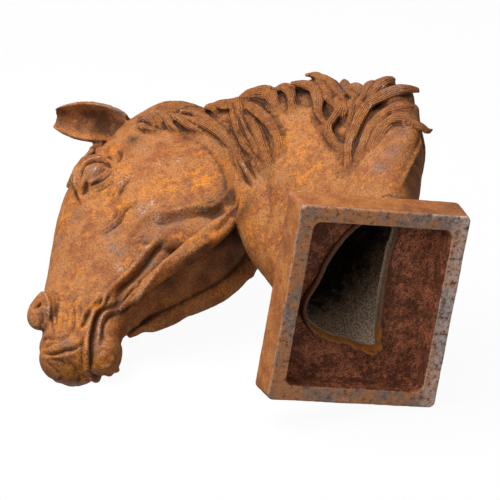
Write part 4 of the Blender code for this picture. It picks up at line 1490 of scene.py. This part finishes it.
class IronColours(bpy.types.PropertyGroup):
    """Colours of the rusted iron, some of which also paint shade and light on it."""
    rust: colour_property("Rust", "Main rust", (0.285, 0.086, 0.020))
    light_rust: colour_property("Light rust", "Lighter rust", (0.400, 0.150, 0.038))
    ochre: colour_property("Ochre", "Fresh orange rust", (0.520, 0.170, 0.014))
    brown: colour_property("Brown", "Old brown rust", (0.160, 0.055, 0.020))
    # Grey-violet scale, which is also painted sheen at the grey marks
    violet: colour_property("Violet grey", "Oiled grey-violet scale", (0.175, 0.105, 0.080))
    # Dark rust, which is also painted shade in recesses, shut-in places and at the dark marks
    dark: colour_property("Dark", "Rust in hollows", (0.075, 0.024, 0.006))
    # Bare metal on edges, which is also painted highlight at the pale marks
    worn: colour_property("Worn", "Bare metal on edges", (0.520, 0.450, 0.420))
    # Black scale inside the neck, which is also painted shade deep in the bore
    soot_and_shade: colour_property("Soot", "Black inside the neck", (0.010, 0.008, 0.007))
    bore_grey: colour_property("Bore grey", "Grey scale inside the neck", (0.330, 0.240, 0.180))
    # Pale scale at the foot of the neck, light enough to be painted light where light comes into
    # the bore
    ash_and_light: colour_property("Ash", "Pale olive scale at the foot of the neck", (0.860, 0.640, 0.450))
    # Red-brown inside of the plinth, which also paints the shadow on the spigot
    inside: colour_property("Inside", "Red-brown inside of the plinth", (0.185, 0.062, 0.030))
    rim_brown: colour_property("Rim brown", "Brown of the rim", (0.560, 0.235, 0.100))
    rim_grey: colour_property("Rim grey", "Grey of the rim", (0.330, 0.215, 0.165))


class StageLight(bpy.types.PropertyGroup):
    """Floor and light of the stage."""
    floor_size: length_property("Floor size", "Side of the square floor", 2.4, 0.5, 10.0)
    key_power: power_property("Key light", "Power of the light over the lying work", 33.0)
    front_power: power_property("Front light", "Power of the light by the camera", 18.0)
    room_light: FloatProperty(
        name="Room light", description="Brightness of the white room", default=0.30, min=0)


class STATUE_OT_head(bpy.types.Operator):
    """Build the hollow head and neck casting"""
    bl_idname = "statue.head"
    bl_label = "Head and neck"

    def execute(self, context):
        build_head(context.scene.head_sizes, context.scene.iron_colours)
        return {"FINISHED"}


class STATUE_OT_plinth(bpy.types.Operator):
    """Build the rectangular plinth casting"""
    bl_idname = "statue.plinth"
    bl_label = "Plinth"

    def execute(self, context):
        build_plinth(context.scene.plinth_sizes, context.scene.iron_colours)
        return {"FINISHED"}


class STATUE_OT_stage(bpy.types.Operator):
    """Set up the floor, the lights and the camera"""
    bl_idname = "statue.stage"
    bl_label = "Stage"

    def execute(self, context):
        build_stage(context.scene.stage_light)
        return {"FINISHED"}


class STATUE_PT_panel(bpy.types.Panel):
    """Sizes, colours and steps of the cast head"""
    bl_idname = "STATUE_PT_panel"
    bl_label = "Cast horse head"
    bl_space_type = "VIEW_3D"
    bl_region_type = "UI"
    bl_category = "Cast head"

    def draw(self, context):
        for group, step in (("head_sizes", "statue.head"), ("plinth_sizes", "statue.plinth"),
                            ("iron_colours", None), ("stage_light", "statue.stage")):
            box = self.layout.box()
            settings = getattr(context.scene, group)
            for name in settings.__annotations__:
                box.prop(settings, name)
            if step:
                box.operator(step)


GROUPS = {"head_sizes": HeadSizes, "plinth_sizes": PlinthSizes, "iron_colours": IronColours,
          "stage_light": StageLight}
CLASSES = (*GROUPS.values(), STATUE_OT_head, STATUE_OT_plinth, STATUE_OT_stage, STATUE_PT_panel)


def register():
    for cls in CLASSES:
        bpy.utils.register_class(cls)
    for name, group in GROUPS.items():
        setattr(bpy.types.Scene, name, PointerProperty(type=group))


def unregister():
    for name in GROUPS:
        delattr(bpy.types.Scene, name)
    for cls in reversed(CLASSES):
        bpy.utils.unregister_class(cls)


def main():
    register()
    bpy.ops.statue.head()
    bpy.ops.statue.plinth()
    bpy.ops.statue.stage()


if __name__ == "__main__":
    main()
